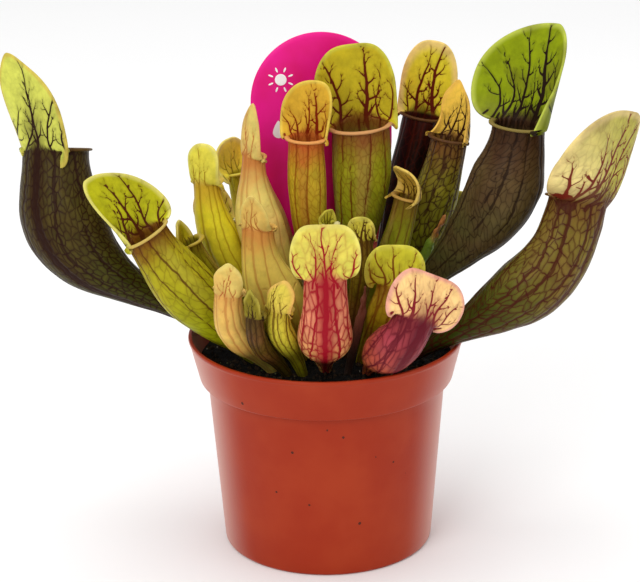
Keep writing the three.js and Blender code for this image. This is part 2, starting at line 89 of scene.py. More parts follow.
@dataclass
class ClosedGrid:
    """Rows of points that close round their columns, with a pole past each end.

    Attributes:
        points: rows x columns x 3, in millimetres.
        poles: the point before the first row and the point after the last.
        pressed: rows x (columns + 1) x 2, the surface laid flat, in millimetres.
        values: named values at each point, rows x columns.
    """

    points: Array
    poles: tuple[Array, Array]
    pressed: Array
    values: dict[str, Array] = field(default_factory=dict)

    def faces(self) -> tuple[Array, Array, Array]:
        """Corner indices, face starts and each corner's row of the pressed map.

        Between rows i and i+1 and columns j and j+1 lies a quad; each pole closes its row in a fan.

        Returns:
            The three arrays, as long as all corners, as all faces and as all corners.
        """
        rows, columns, _ = self.points.shape
        i, j = np.meshgrid(np.arange(rows - 1), np.arange(columns), indexing="ij")
        after = (j + 1) % columns
        corners = [(i, j, j), (i, after, j + 1), (i + 1, after, j + 1), (i + 1, j, j)]
        quads = np.stack([a * columns + b for a, b, _ in corners], -1).reshape(-1)
        quad_uv = np.stack([a * (columns + 1) + c for a, _, c in corners], -1).reshape(-1)
        ring = np.arange(columns)
        turn = (ring + 1) % columns
        first = rows * columns
        top = (rows - 1) * columns
        fans = np.concatenate([
            np.stack([np.full(columns, first), turn, ring], -1).reshape(-1),
            np.stack([np.full(columns, first + 1), top + ring, top + turn], -1).reshape(-1),
        ])
        low_uv = np.stack([ring, ring + 1, ring], -1).reshape(-1)
        high = (rows - 1) * (columns + 1)
        high_uv = np.stack([high + ring, high + ring, high + ring + 1], -1).reshape(-1)
        index = np.concatenate([quads, fans])
        starts = np.concatenate([
            np.arange(len(quads) // 4) * 4,
            len(quads) + np.arange(len(fans) // 3) * 3,
        ])
        return index, starts, np.concatenate([quad_uv, low_uv, high_uv])

    def to_object(self, name: str, material: bpy.types.Material) -> bpy.types.Object:
        """Makes the mesh object, with its pressed map and named values.

        Args:
            name: the piece's name.
            material: its finish.

        Returns:
            The object.
        """
        index, starts, uv_rows = self.faces()
        points = np.concatenate([self.points.reshape(-1, 3), np.stack(self.poles)])
        piece = mesh_object(name, points, index, starts, material)
        mesh = piece.data
        layer = mesh.uv_layers.new(name="pressed")
        spread = self.pressed.reshape(-1, 2)[uv_rows] / MAP_UNIT
        layer.data.foreach_set("uv", spread.astype("f").ravel())
        for label, value in self.values.items():
            ends = [value[0].mean(), value[-1].mean()]
            attribute = mesh.attributes.new(label, "FLOAT", "POINT")
            attribute.data.foreach_set("value", np.concatenate([value.ravel(), ends]).astype("f"))
        return piece


def mesh_object(
    name: str, points: Array, index: Array, starts: Array, material: bpy.types.Material
) -> bpy.types.Object:
    """Makes a smooth-shaded mesh object from points in millimetres.

    Args:
        name: the piece's name.
        points: n x 3 points in millimetres.
        index: the corners of all faces, one after another.
        starts: where each face starts in index.
        material: the finish of the whole piece.

    Returns:
        The object, at the origin, with its place in its mesh.
    """
    mesh = bpy.data.meshes.new(name)
    mesh.vertices.add(len(points))
    mesh.vertices.foreach_set("co", (points * MM).astype("f").ravel())
    mesh.loops.add(len(index))
    mesh.loops.foreach_set("vertex_index", index.astype("i"))
    mesh.polygons.add(len(starts))
    mesh.polygons.foreach_set("loop_start", starts.astype("i"))
    mesh.polygons.foreach_set("use_smooth", np.ones(len(starts), bool))
    mesh.update(calc_edges=True)
    mesh.validate()
    mesh.materials.append(material)
    piece = bpy.data.objects.new(name, mesh)
    bpy.context.scene.collection.objects.link(piece)
    return piece


@dataclass(frozen=True)
class LeafShape:
    """The driving sizes of one leaf.

    Its axis rises from base through bend and rise to the middle of its mouth. belly and neck are
    half widths of the tube. width, wrap and taper are the hood's half widths, how far each side
    comes forwards and how straight it narrows below, first on the side of negative turn and then
    on the other. skew moves the hood's top to the side of positive turn, and span is how many
    degrees of the rim either side of the back the hood grows from.

    The same in every leaf: how far the foot goes down into the peat, the tube's depth as a share
    of its width, the wall's thickness, the wing's angle, how far each hood line keeps its first
    direction, the waves of the hood's edge, the share of the hood where its lobes end, how far
    the lip rolls over and its length laid flat in lip radii.
    """

    base: Pair
    bend: Triple
    rise: Triple
    mouth: Triple
    facing: float
    belly: float
    neck: float
    fullest: float = 0.72
    stalk: float = 1.7
    wing: float = 1.2
    lip: float = 0.42
    width: Pair = (11, 11)
    wrap: Pair = (1.1, 1.1)
    height: float = 18
    lean: Pair = (0, 10)
    droop: float = 3
    peak: float = 0
    widest: float = 0.42
    rounding: float = 0.8
    taper: Pair = (0.8, 0.8)
    skew: float = 0
    lobe: float = 1.22
    flare: float = 75
    ruffle: float = 0.6
    span: float = 100

    root_depth = 8.0
    flat = 0.86
    wall = 0.8
    wing_angle = 0.24
    spring = 0.42
    waves = 3
    lobe_end = 0.86
    lip_roll = math.radians(132)
    lip_unrolled = 2.3

    @property
    def rim_span(self) -> float:
        """How far round the rim the hood grows, either side of the back, in radians."""
        return math.radians(self.span)

    def axis(self, u: Array) -> tuple[Array, Array]:
        """Points and directions of the axis: a cubic Bezier curve and its derivative.

        Args:
            u: places along the axis, 0 at its foot and 1 at the mouth.

        Returns:
            Points and unit directions, n x 3 each.
        """
        x, y = self.base
        foot = np.array([x, y, SOIL - self.root_depth])
        bend, rise, mouth = (np.array(p, float) for p in (self.bend, self.rise, self.mouth))
        u = u[:, None]
        v = 1 - u
        centre = v**3 * foot + 3 * v**2 * u * bend + 3 * v * u**2 * rise + u**3 * mouth
        along = 3 * v**2 * (bend - foot) + 6 * v * u * (rise - bend) + 3 * u**2 * (mouth - rise)
        return centre, along / np.linalg.norm(along, axis=1, keepdims=True)

    def frames(self, u: Array) -> tuple[Array, Array, Array, Array]:
        """Centre, along, front and side at each u.

        The front is the facing direction tipped upwards near the stalk, less its part along the
        axis; the side is front x along.

        Args:
            u: places along the axis, 0 at its foot and 1 at the mouth.

        Returns:
            The four of them, n x 3 each.
        """
        centre, along = self.axis(u)
        level = (0.45 + 0.5 * ease(u))[:, None]
        facing = math.radians(self.facing)
        wanted = level * np.array([math.cos(facing), math.sin(facing), 0.0])
        wanted = wanted + (1 - level) * np.array([0.0, 0.0, 1.0])
        front = wanted - (wanted * along).sum(1, keepdims=True) * along
        front /= np.linalg.norm(front, axis=1, keepdims=True)
        return centre, along, front, np.cross(front, along)

    def half_width(self, u: Array) -> Array:
        """The tube's half width: the stalk swells to the belly and narrows to the neck.

        Args:
            u: places along the axis, 0 at its foot and 1 at the mouth.

        Returns:
            A half width for each u.
        """
        start = 0.05
        swell = mix(self.stalk, self.belly, ease((u - start) / (self.fullest - start)) ** 1.15)
        narrow = mix(self.belly, self.neck, ease((u - self.fullest) / (1 - self.fullest)))
        return np.where(u < self.fullest, swell, narrow)

    def length(self, u: Array) -> Array:
        """Length of the axis from the stalk's foot to each u, summed along a fine polyline.

        Args:
            u: places along the axis, 0 at its foot and 1 at the mouth.

        Returns:
            A length for each u.
        """
        fine = np.linspace(0, 1, 400)
        steps = np.linalg.norm(np.diff(self.axis(fine)[0], axis=0), axis=1)
        return np.interp(u, fine, np.concatenate([[0], np.cumsum(steps)]))

    def tube(self, u: Array, turn: Array) -> Array:
        """Rows u and columns turn of the tube.

        An ellipse about the axis, with a narrow wing exp(-(angle from the front / its angle)^2).

        Args:
            u: places along the axis, 0 at its foot and 1 at the mouth.
            turn: angles round the tube from the back, positive to one side.

        Returns:
            Points, rows x columns x 3.
        """
        centre, _, front, side = self.frames(u)
        wide = self.half_width(u)[:, None]
        from_front = math.pi - np.abs(wrapped(turn))
        ridge = np.exp(-((from_front / self.wing_angle) ** 2))[None]
        wing = self.wing * np.sin(math.pi * np.clip(u, 0, 1))[:, None] ** 0.7 * ridge
        across = wide * np.sin(turn)[None]
        ahead = wing - wide * self.flat * np.cos(turn)[None]
        sideways = across[..., None] * side[:, None]
        return centre[:, None] + sideways + ahead[..., None] * front[:, None]

    def shares(self, turn: Array) -> tuple[Array, Array]:
        """Share of the hood's span at each column, and how far the column belongs to the lip."""
        s = np.clip(wrapped(turn) / self.rim_span, -1, 1)
        return s, ease((np.abs(s) - self.lobe_end) / (1 - self.lobe_end))

    def outline(self, s: Array) -> tuple[Array, Array]:
        """The hood's edge laid flat: across and up at share s.

        An egg: above its widest height, the half width times sin(way)^rounding; below, down to the
        lobe by sin(way)^taper; height times cos(way), with a peak at the tip. The skew moves it
        aside by a share of height^1.3.

        Args:
            s: share of the hood's span, from -1 on one side to 1 on the other.

        Returns:
            How far across and how high the edge is at each s.
        """
        share = np.abs(s)
        way = np.minimum(share / self.lobe_end, 1) * math.pi
        half = np.where(s < 0, *self.width)
        widest = self.widest * self.height
        above = way < math.pi / 2
        sine = np.abs(np.sin(way))
        lobe = self.neck * self.lobe
        taper = np.where(s < 0, *self.taper)
        across = np.where(above, half * sine**self.rounding, mix(lobe, half, sine**taper))
        rise = np.where(above, self.height - widest, widest + self.droop) * np.cos(way)
        high = widest + rise
        aside = self.skew * np.clip(high / self.height, 0, 1) ** 1.3
        return np.sign(s) * across + aside, high + self.peak * np.exp(-((share / 0.1) ** 2))

    def hood_edge(self, s: Array) -> Array:
        """The hood's edge in space: the flat outline bent back by its lean and wrapped forwards.

        Args:
            s: share of the hood's span, from -1 on one side to 1 on the other.

        Returns:
            Points, n x 3.
        """
        centre, along, front, side = (a[0] for a in self.frames(np.array([1.0])))
        across, high = self.outline(s)
        share = np.abs(s)
        deep = self.neck * self.flat
        forward = np.where(s < 0, *self.wrap) * deep * (1 - np.cos(self.rim_span * share))
        start, end = (math.radians(a) for a in self.lean)
        bend = (end - start) / self.height
        tilt = start + bend * np.maximum(high, 0)
        up, over = high * math.cos(start), high * math.sin(start)
        if abs(bend) > 1e-6:
            up = np.where(high > 0, (np.sin(tilt) - math.sin(start)) / bend, up)
            over = np.where(high > 0, (math.cos(start) - np.cos(tilt)) / bend, over)
        wave = np.sin(self.waves * math.pi * s) * np.sqrt(np.sin(math.pi * share).clip(0))
        ahead = forward + self.ruffle * wave
        parts = (
            (over - deep + ahead * np.cos(tilt), front),
            (up - ahead * np.sin(tilt), along),
            (across, side),
        )
        return centre + sum(amount[:, None] * way for amount, way in parts)

    def collar(self, turn: Array, k: Array) -> Array:
        """Rows k above the rim: the hood behind, the rolled lip in front.

        Each hood line is a quadratic Bezier curve from the rim to the hood's edge that leaves the
        rim along the tube at the back and flares outwards towards the lobes.

        Args:
            turn: angles round the tube from the back, positive to one side.
            k: how far up the hood, 0 at the rim and 1 at its edge.

        Returns:
            Points, rows x columns x 3.
        """
        _, along, front, side = (a[0] for a in self.frames(np.array([1.0])))
        rim = self.tube(np.array([1.0]), turn)[0]
        outward = np.sin(turn)[:, None] * side - np.cos(turn)[:, None] * front
        roll = (self.lip_roll * k)[:, None, None]
        lip = rim + self.lip * (np.sin(roll) * along + (1 - np.cos(roll)) * outward)
        s, to_lip = self.shares(turn)
        lip_share = to_lip[:, None]
        edge = mix(self.hood_edge(s), lip[-1], lip_share)
        flare = (math.radians(self.flare) * ease(np.abs(s)))[:, None]
        start = math.radians(self.lean[0])
        upward = math.cos(start) * along + math.sin(start) * front
        leave = np.cos(flare) * upward + np.sin(flare) * outward
        reach = np.linalg.norm(edge - rim, axis=1, keepdims=True) * self.spring
        lip_middle = rim + self.lip * (1.1 * along + 0.5 * outward)
        control = mix(rim + reach * leave, lip_middle, lip_share)
        k = k[:, None, None]
        hood = (1 - k) ** 2 * rim + 2 * k * (1 - k) * control + k**2 * edge
        on_lip = (np.abs(wrapped(turn)) > self.rim_span + 1e-9)[None, :, None]
        return np.where(on_lip, lip, hood)

    def pressed_rim(self, turn: Array, u: Array) -> Array:
        """Across positions of the tube laid flat: angle from the back times half width."""
        return turn[None] * self.half_width(u)[:, None]

    def pressed_collar(self, turn: Array, k: Array) -> Array:
        """The hood laid flat: straight blends from the unrolled rim to the flat outline.

        Args:
            turn: angles round the tube from the back, positive to one side.
            k: how far up the hood, 0 at the rim and 1 at its edge.

        Returns:
            Flat places, rows x columns x 2.
        """
        s, to_lip = self.shares(turn)
        rim = np.stack([turn * self.neck, np.zeros_like(turn)], -1)
        across, high = self.outline(s)
        angle = np.abs(wrapped(turn))
        spare = 0.7 * self.neck * (angle - np.sin(angle))
        edge = np.stack([across + np.sign(s) * spare, high], -1)
        lip = rim + np.array([0.0, self.lip_unrolled * self.lip])
        edge = mix(edge, lip, to_lip[:, None])
        return mix(rim, edge, k[:, None, None])


def wrapped(turn: Array) -> Array:
    """An angle brought into -pi to pi."""
    return (turn + math.pi) % (2 * math.pi) - math.pi


def wandering(draw: np.random.Generator, spread: float, count: int) -> Array:
    """Random normal values, each the mean of seven neighbours.

    Args:
        draw: the random generator.
        spread: the spread of the values before the mean.
        count: how many values are wanted.

    Returns:
        The values.
    """
    near = 7
    return np.convolve(draw.normal(0, spread, count + near - 1), np.ones(near) / near, "valid")


@dataclass(frozen=True)
class Trunk:
    """One main vein of a hood.

    start is where it leaves the rim, as a share of the neck's half width, positive on the side of
    positive turn. end is where it heads, as a share of the hood's half width there. reach is its
    length as a share of the hood's height, and width its half width at the rim in millimetres.
    """

    start: float
    end: float
    reach: float
    width: float


def trunks(*rows: tuple[float, float, float, float]) -> tuple[Trunk, ...]:
    """Trunks from rows of start, end, reach and width."""
    return tuple(Trunk(*row) for row in rows)


FAN = trunks(
    (0.0, 0.0, 0.92, 0.55),
    (0.6, 0.45, 0.8, 0.42),
    (-0.6, -0.45, 0.8, 0.42),
    (1.15, 0.85, 0.55, 0.32),
    (-1.15, -0.85, 0.55, 0.32),
)
FAINT = trunks((0.0, 0.0, 0.9, 0.26), (0.6, 0.4, 0.6, 0.22), (-0.6, -0.4, 0.6, 0.22))


@dataclass(frozen=True)
class Venation:
    """How a leaf's veins grow.

    ribs long veins run up the tube, spine is the half width of the one down its back, and ties is
    how many cross veins join two neighbours per 10 mm of tube. A vein is walked in steps; one
    whose half width is under the finest has no side veins; sight is how far from a vein a point
    still knows of it.
    """

    trunks: tuple[Trunk, ...] = FAN
    ribs: int = 11
    rib_width: float = 0.26
    spine: float = 0.35
    ties: float = 0.0
    orders: int = 2
    seed: int = 1

    step = 0.4
    finest = 0.16
    sight = 3.0
    tie_points = 14

    def grow(self, draw: np.random.Generator, start: Array, heading: float, length: float,
             width: float, order: int = 0, back: float = 0.0) -> list[Array]:
        """One vein and its side veins, as arrays of across, up and half width.

        The vein walks in short steps whose heading wanders and, on a side vein, bends back towards
        its parent's; side veins leave by turns to either side at 43 to 66 degrees, each thinner
        and shorter than its parent, and the tip forks in two.

        Args:
            draw: the random generator.
            start: where the vein starts, across and up.
            heading: its first angle from straight up.
            length: its length.
            width: its half width at the start.
            order: 0 for a main vein, more for side veins.
            back: how far it bends back towards its parent's heading.

        Returns:
            The vein itself and then all that leave it.
        """
        count = max(int(length / self.step), 3)
        share = np.linspace(0, 1, count)
        kinks = wandering(draw, 0.3, count)
        sway = 0.2 * np.sin(share * draw.uniform(3, 6) + draw.uniform(0, 6))
        heads = heading + kinks + sway - back * ease(share)
        across = start[0] + np.cumsum(np.sin(heads)) * self.step
        up = start[1] + np.cumsum(np.cos(heads)) * self.step
        widths = width * (1 - 0.7 * share**1.3)
        veins = [np.stack([across, up, widths], -1)]
        if order >= self.orders or width < self.finest:
            return veins
        hand = draw.choice([-1, 1])
        place = draw.uniform(1.6, 3.4)
        while place < length * 0.9:
            at = min(int(place / self.step), count - 1)
            side_length = min((length - place) * draw.uniform(0.2, 0.42) + 1.4, 6.0)
            turn = hand * draw.uniform(0.75, 1.15)
            veins += self.grow(draw, veins[0][at, :2], heads[at] + turn, side_length,
                               widths[at] * 0.66, order + 1, turn * 0.55)
            hand = -hand
            place += draw.uniform(2.2, 4.2)
        for turn in (-0.55, 0.5):
            veins += self.grow(draw, veins[0][-1, :2], heads[-1] + turn, length * 0.1 + 0.7,
                               widths[-1] * 0.85, order + 2, turn * 0.5)
        return veins

    def hood(self, leaf: LeafShape, draw: np.random.Generator) -> list[Array]:
        """The trunks of the hood, each aimed from its place on the rim to its place above.

        Args:
            leaf: the leaf that the veins grow on.
            draw: the random generator.

        Returns:
            The veins, as in grow.
        """
        veins = []
        for trunk in self.trunks:
            half = leaf.width[0] if trunk.end < 0 else leaf.width[1]
            foot = np.array([trunk.start * leaf.neck, -1.5])
            length = trunk.reach * leaf.height
            target = trunk.end * half - foot[0]
            heading = math.atan2(target, max(length * 0.8, 1.0))
            veins += self.grow(draw, foot, heading, length + 1.5, trunk.width)
        return veins

    def tube(self, leaf: LeafShape, draw: np.random.Generator) -> list[Array]:
        """Long veins up the tube with slanting ties between neighbours.

        Args:
            leaf: the leaf that the veins grow on.
            draw: the random generator.

        Returns:
            The veins, as in grow.
        """
        total = float(leaf.length(np.array([1.0]))[0])
        u = np.linspace(0.08, 1.0, int(total / self.step))
        up = leaf.length(u) - total
        wide = leaf.half_width(u)
        gap = 2 * math.pi / self.ribs
        bases = np.arange(self.ribs) * gap + draw.uniform(-0.16, 0.16, self.ribs)
        bases[0] = 0.0
        bases = wrapped(bases)
        veins, lines = [], []
        for i, base in enumerate(bases):
            phase, pace = draw.uniform(0, 6), draw.uniform(2, 4)
            line = base + 0.09 * np.sin(pace * math.pi * u + phase) * (i > 0)
            line = line + wandering(draw, 0.05, len(u))
            full = self.spine if i == 0 else self.rib_width * draw.uniform(0.7, 1.25)
            veins.append(np.stack([line * wide, up, full * (0.3 + 0.7 * ease(u / 0.85))], -1))
            lines.append(line)
        for i in range(self.ribs):
            a, b = lines[i], lines[(i + 1) % self.ribs]
            b = a + wrapped(b - a)
            for _ in range(int(self.ties * total / 10)):
                low = draw.uniform(0.2, 0.97)
                at = int(low * len(u))
                rise = draw.uniform(-2.2, 2.2)
                share = np.linspace(0, 1, self.tie_points)
                bow = draw.normal(0, 0.5)
                across = mix(a[at], b[at], share) * wide[at]
                height = up[at] + rise * share + bow * np.sin(math.pi * share)
                thin = np.full_like(share, self.rib_width * 0.5)
                veins.append(np.stack([across, height, thin], -1))
        return veins

    def samples(self, leaf: LeafShape) -> Array:
        """Points on all veins: across, up, half width and the direction along the vein.

        Args:
            leaf: the leaf that the veins grow on.

        Returns:
            n x 5: the points of all veins.
        """
        draw = np.random.default_rng(self.seed)
        rows = []
        for vein in self.tube(leaf, draw) + self.hood(leaf, draw):
            along = np.gradient(vein[:, :2], axis=0)
            along /= np.linalg.norm(along, axis=1, keepdims=True) + 1e-9
            rows.append(np.concatenate([vein, along], 1))
        return np.concatenate(rows)

    def field(self, leaf: LeafShape, pressed: Array, u: Array) -> Array:
        """The way from each point to its nearest vein, by which the shader draws sharp veins.

        The nearest vein is the one with the greatest half width less distance, and distances on
        the tube are taken the shorter way round it. The way to it changes evenly from point to
        point beside a straight vein, so its length stays exact between them.

        Args:
            leaf: the leaf that the veins grow on.
            pressed: rows x columns x 2, the outside of the leaf laid flat.
            u: the place of each of the tube's rows along its axis.

        Returns:
            rows x columns x 5: in millimetres, the way across and up to the middle of the vein, its
            half width, and that half width less the distance, which goes down to the sight below
            zero; and how surely the neighbours see the same vein.
        """
        veins = self.samples(leaf).astype("f")
        result = np.zeros((*pressed.shape[:2], 5), "f")
        result[..., 3] = -self.sight
        girths = 2 * math.pi * leaf.half_width(u)
        columns = np.arange(pressed.shape[1])
        for i, row in enumerate(pressed.astype("f")):
            low, high = row[:, 1].min() - self.sight, row[:, 1].max() + self.sight
            near = veins[(veins[:, 1] > low) & (veins[:, 1] < high)]
            if not len(near):
                continue
            across = near[None, :, 0] - row[:, None, 0]
            if i < len(girths):
                across -= girths[i] * np.round(across / girths[i])
            up = near[None, :, 1] - row[:, None, 1]
            depth = near[None, :, 2] - np.hypot(across, up)
            best = depth.argmax(1)
            way = np.stack([across[columns, best], up[columns, best]], -1)
            along = near[best, 3:]
            slide = np.clip((way * along).sum(1), -0.6 * self.step, 0.6 * self.step)
            way -= slide[:, None] * along
            deep = depth[columns, best].clip(-self.sight)
            result[i, :, :4] = np.concatenate([way, near[best, 2:3], deep[:, None]], 1)
        result[..., 4] = self.sureness(pressed, result[..., :2])
        return result

    def sureness(self, pressed: Array, way: Array) -> Array:
        """1 where a point and its neighbours see the same vein, and 0 where they don't.

        Two neighbours that look opposite ways see the same vein when its nearest spots to them are
        hardly farther apart than they are themselves; else nothing lies between them.

        Args:
            pressed: rows x columns x 2, the outside laid flat.
            way: the way from each point to its nearest vein.

        Returns:
            1 or 0 at each point.
        """
        sure = np.ones(way.shape[:2])
        spot = pressed + way
        for rows, columns in ((0, 1), (1, 0), (1, 1), (1, -1)):
            step = (rows, columns)
            apart = np.linalg.norm(np.roll(pressed, step, (0, 1)) - pressed, axis=2)
            between = np.linalg.norm(np.roll(spot, step, (0, 1)) - spot, axis=2)
            facing = (np.roll(way, step, (0, 1)) * way).sum(2) < 0
            lost = facing & (between > 1.1 * apart + 0.12)
            sure[lost | np.roll(lost, (-rows, -columns), (0, 1))] = 0
        return sure


@dataclass(frozen=True)
class LeafSkin:
    """Colours and amounts of one leaf's skin. Colours are screen colours, lengths millimetres.

    far_hood is the hood's colour on the side of positive turn and hood_vein its veins' colour,
    where they differ, and soft draws out the change of colour from the tube to the hood. spine is
    how strongly the stain runs up the middle of the back.
    """

    tube_low: str
    tube_high: str
    hood: str
    vein: str
    margin: str = "C9BE7A"
    flush: str = "B85A48"
    stain: str = "6A2420"
    lip: str = "DDD29A"
    wing: str = "9A6A48"
    inside: str = "8A8A4A"
    flush_amount: float = 0.15
    stain_amount: float = 0.5
    wing_amount: float = 0.3
    net_tube: float = 0.35
    net_hood: float = 0.15
    vein_tube: float = 0.8
    margin_width: float = 1.6
    cell: float = 2.0
    net_width: float = 1.0
    spine: float = 0.0
    far_hood: str = ""
    hood_vein: str = ""
    crease: float = 0.0
    soft: float = 0.0


def socket_name(name: str) -> str:
    """The name on a node of a field such as tube_low: Tube low."""
    return name.replace("_", " ").capitalize()


class Graph:
    """Adds nodes to one node tree and links them, in a few words."""

    def __init__(self, tree: bpy.types.NodeTree) -> None:
        """Keeps the tree that the nodes go into."""
        self.tree = tree
        self.column = 0

    def add(self, kind: str, **settings: object) -> bpy.types.Node:
        """Adds a node of a kind and sets its named settings.

        Args:
            kind: the node's type.
            settings: its properties by name.

        Returns:
            The node.
        """
        node = self.tree.nodes.new(kind)
        self.column += 1
        node.location = (180 * (self.column // 6), -160 * (self.column % 6))
        for key, value in settings.items():
            setattr(node, key, value)
        return node

    def put(self, socket: Socket, value: Value) -> None:
        """Links a socket to an output, or sets its plain value."""
        if isinstance(value, bpy.types.NodeSocket):
            self.tree.links.new(value, socket)
        else:
            socket.default_value = value

    def feed(self, node: bpy.types.Node, values: dict[str | int, Value]) -> None:
        """Links or sets several inputs of a node, each by its name or its number."""
        for key, value in values.items():
            self.put(node.inputs[key], value)

    def maths(self, operation: str, a: Value, b: Value = 0.0, c: Value = 0.0) -> Socket:
        """A Math node of up to three values.

        Args:
            operation: the node's operation.
            a: the first value.
            b: the second.
            c: the third.

        Returns:
            The node's output.
        """
        node = self.add("ShaderNodeMath", operation=operation)
        for socket, value in zip(node.inputs, (a, b, c)):
            self.put(socket, value)
        return node.outputs[0]

    def times(self, *factors: Value) -> Value:
        """The product of all factors."""
        result = factors[0]
        for factor in factors[1:]:
            result = self.maths("MULTIPLY", result, factor)
        return result

    def between(self, value: Value, low: float, high: float, start: float = 0.0,
                end: float = 1.0) -> Socket:
        """A smooth step from start to end as value goes from low to high.

        Args:
            value: the value that leads.
            low: where the step starts.
            high: where it ends.
            start: the result below low.
            end: the result above high.

        Returns:
            The node's output.
        """
        node = self.add("ShaderNodeMapRange", interpolation_type="SMOOTHSTEP")
        self.feed(node, {"Value": value, "From Min": low, "From Max": high})
        self.feed(node, {"To Min": start, "To Max": end})
        return node.outputs["Result"]

    def blend(self, factor: Value, a: Value, b: Value, kind: str = "MIX") -> Socket:
        """A colour Mix node, whose colours are its inputs 6 and 7."""
        node = self.add("ShaderNodeMix", data_type="RGBA", blend_type=kind, clamp_factor=True)
        self.feed(node, {0: factor, 6: a, 7: b})
        return node.outputs[2]

    def lerp(self, factor: Value, a: Value, b: Value) -> Socket:
        """A Mix node of two plain values, its inputs 2 and 3."""
        node = self.add("ShaderNodeMix", data_type="FLOAT", clamp_factor=True)
        self.feed(node, {0: factor, 2: a, 3: b})
        return node.outputs[0]

    def value(self, name: str) -> Socket:
        """A named value of the mesh."""
        return self.add("ShaderNodeAttribute", attribute_name=name).outputs["Fac"]

    def noise(self, place: Socket, scale: float, detail: float = 2.0, rough: float = 0.5) -> Socket:
        """A noise value at a place."""
        node = self.add("ShaderNodeTexNoise")
        self.feed(node, {"Vector": place, "Scale": scale, "Detail": detail, "Roughness": rough})
        return node.outputs[0]

    def stretch(self, place: Socket, scale: Triple) -> Socket:
        """A place scaled by a Mapping node."""
        node = self.add("ShaderNodeMapping")
        self.feed(node, {"Vector": place, "Scale": scale})
        return node.outputs[0]

    def place(self) -> Socket:
        """Where the shaded point lies in its object's frame."""
        return self.add("ShaderNodeTexCoord").outputs["Object"]

    def pressed(self) -> Socket:
        """Where the shaded point lies on its leaf laid flat."""
        return self.add("ShaderNodeUVMap", uv_map="pressed").outputs[0]


def new_group(name: str, inputs: dict[str, Value], outputs: dict[str, str]) -> Graph:
    """A shader node group with named inputs and outputs.

    Args:
        name: the group's name.
        inputs: each input's name and default, a number or a colour.
        outputs: each output's name and its socket type.

    Returns:
        The graph of the new group, with its input and output nodes as enter and leave.
    """
    tree = bpy.data.node_groups.new(name, "ShaderNodeTree")
    for label, value in inputs.items():
        kind = "NodeSocketFloat" if isinstance(value, (int, float)) else "NodeSocketColor"
        tree.interface.new_socket(label, in_out="INPUT", socket_type=kind).default_value = value
    for label, kind in outputs.items():
        tree.interface.new_socket(label, in_out="OUTPUT", socket_type=kind)
    graph = Graph(tree)
    graph.enter = graph.add("NodeGroupInput")
    graph.leave = graph.add("NodeGroupOutput")
    return graph


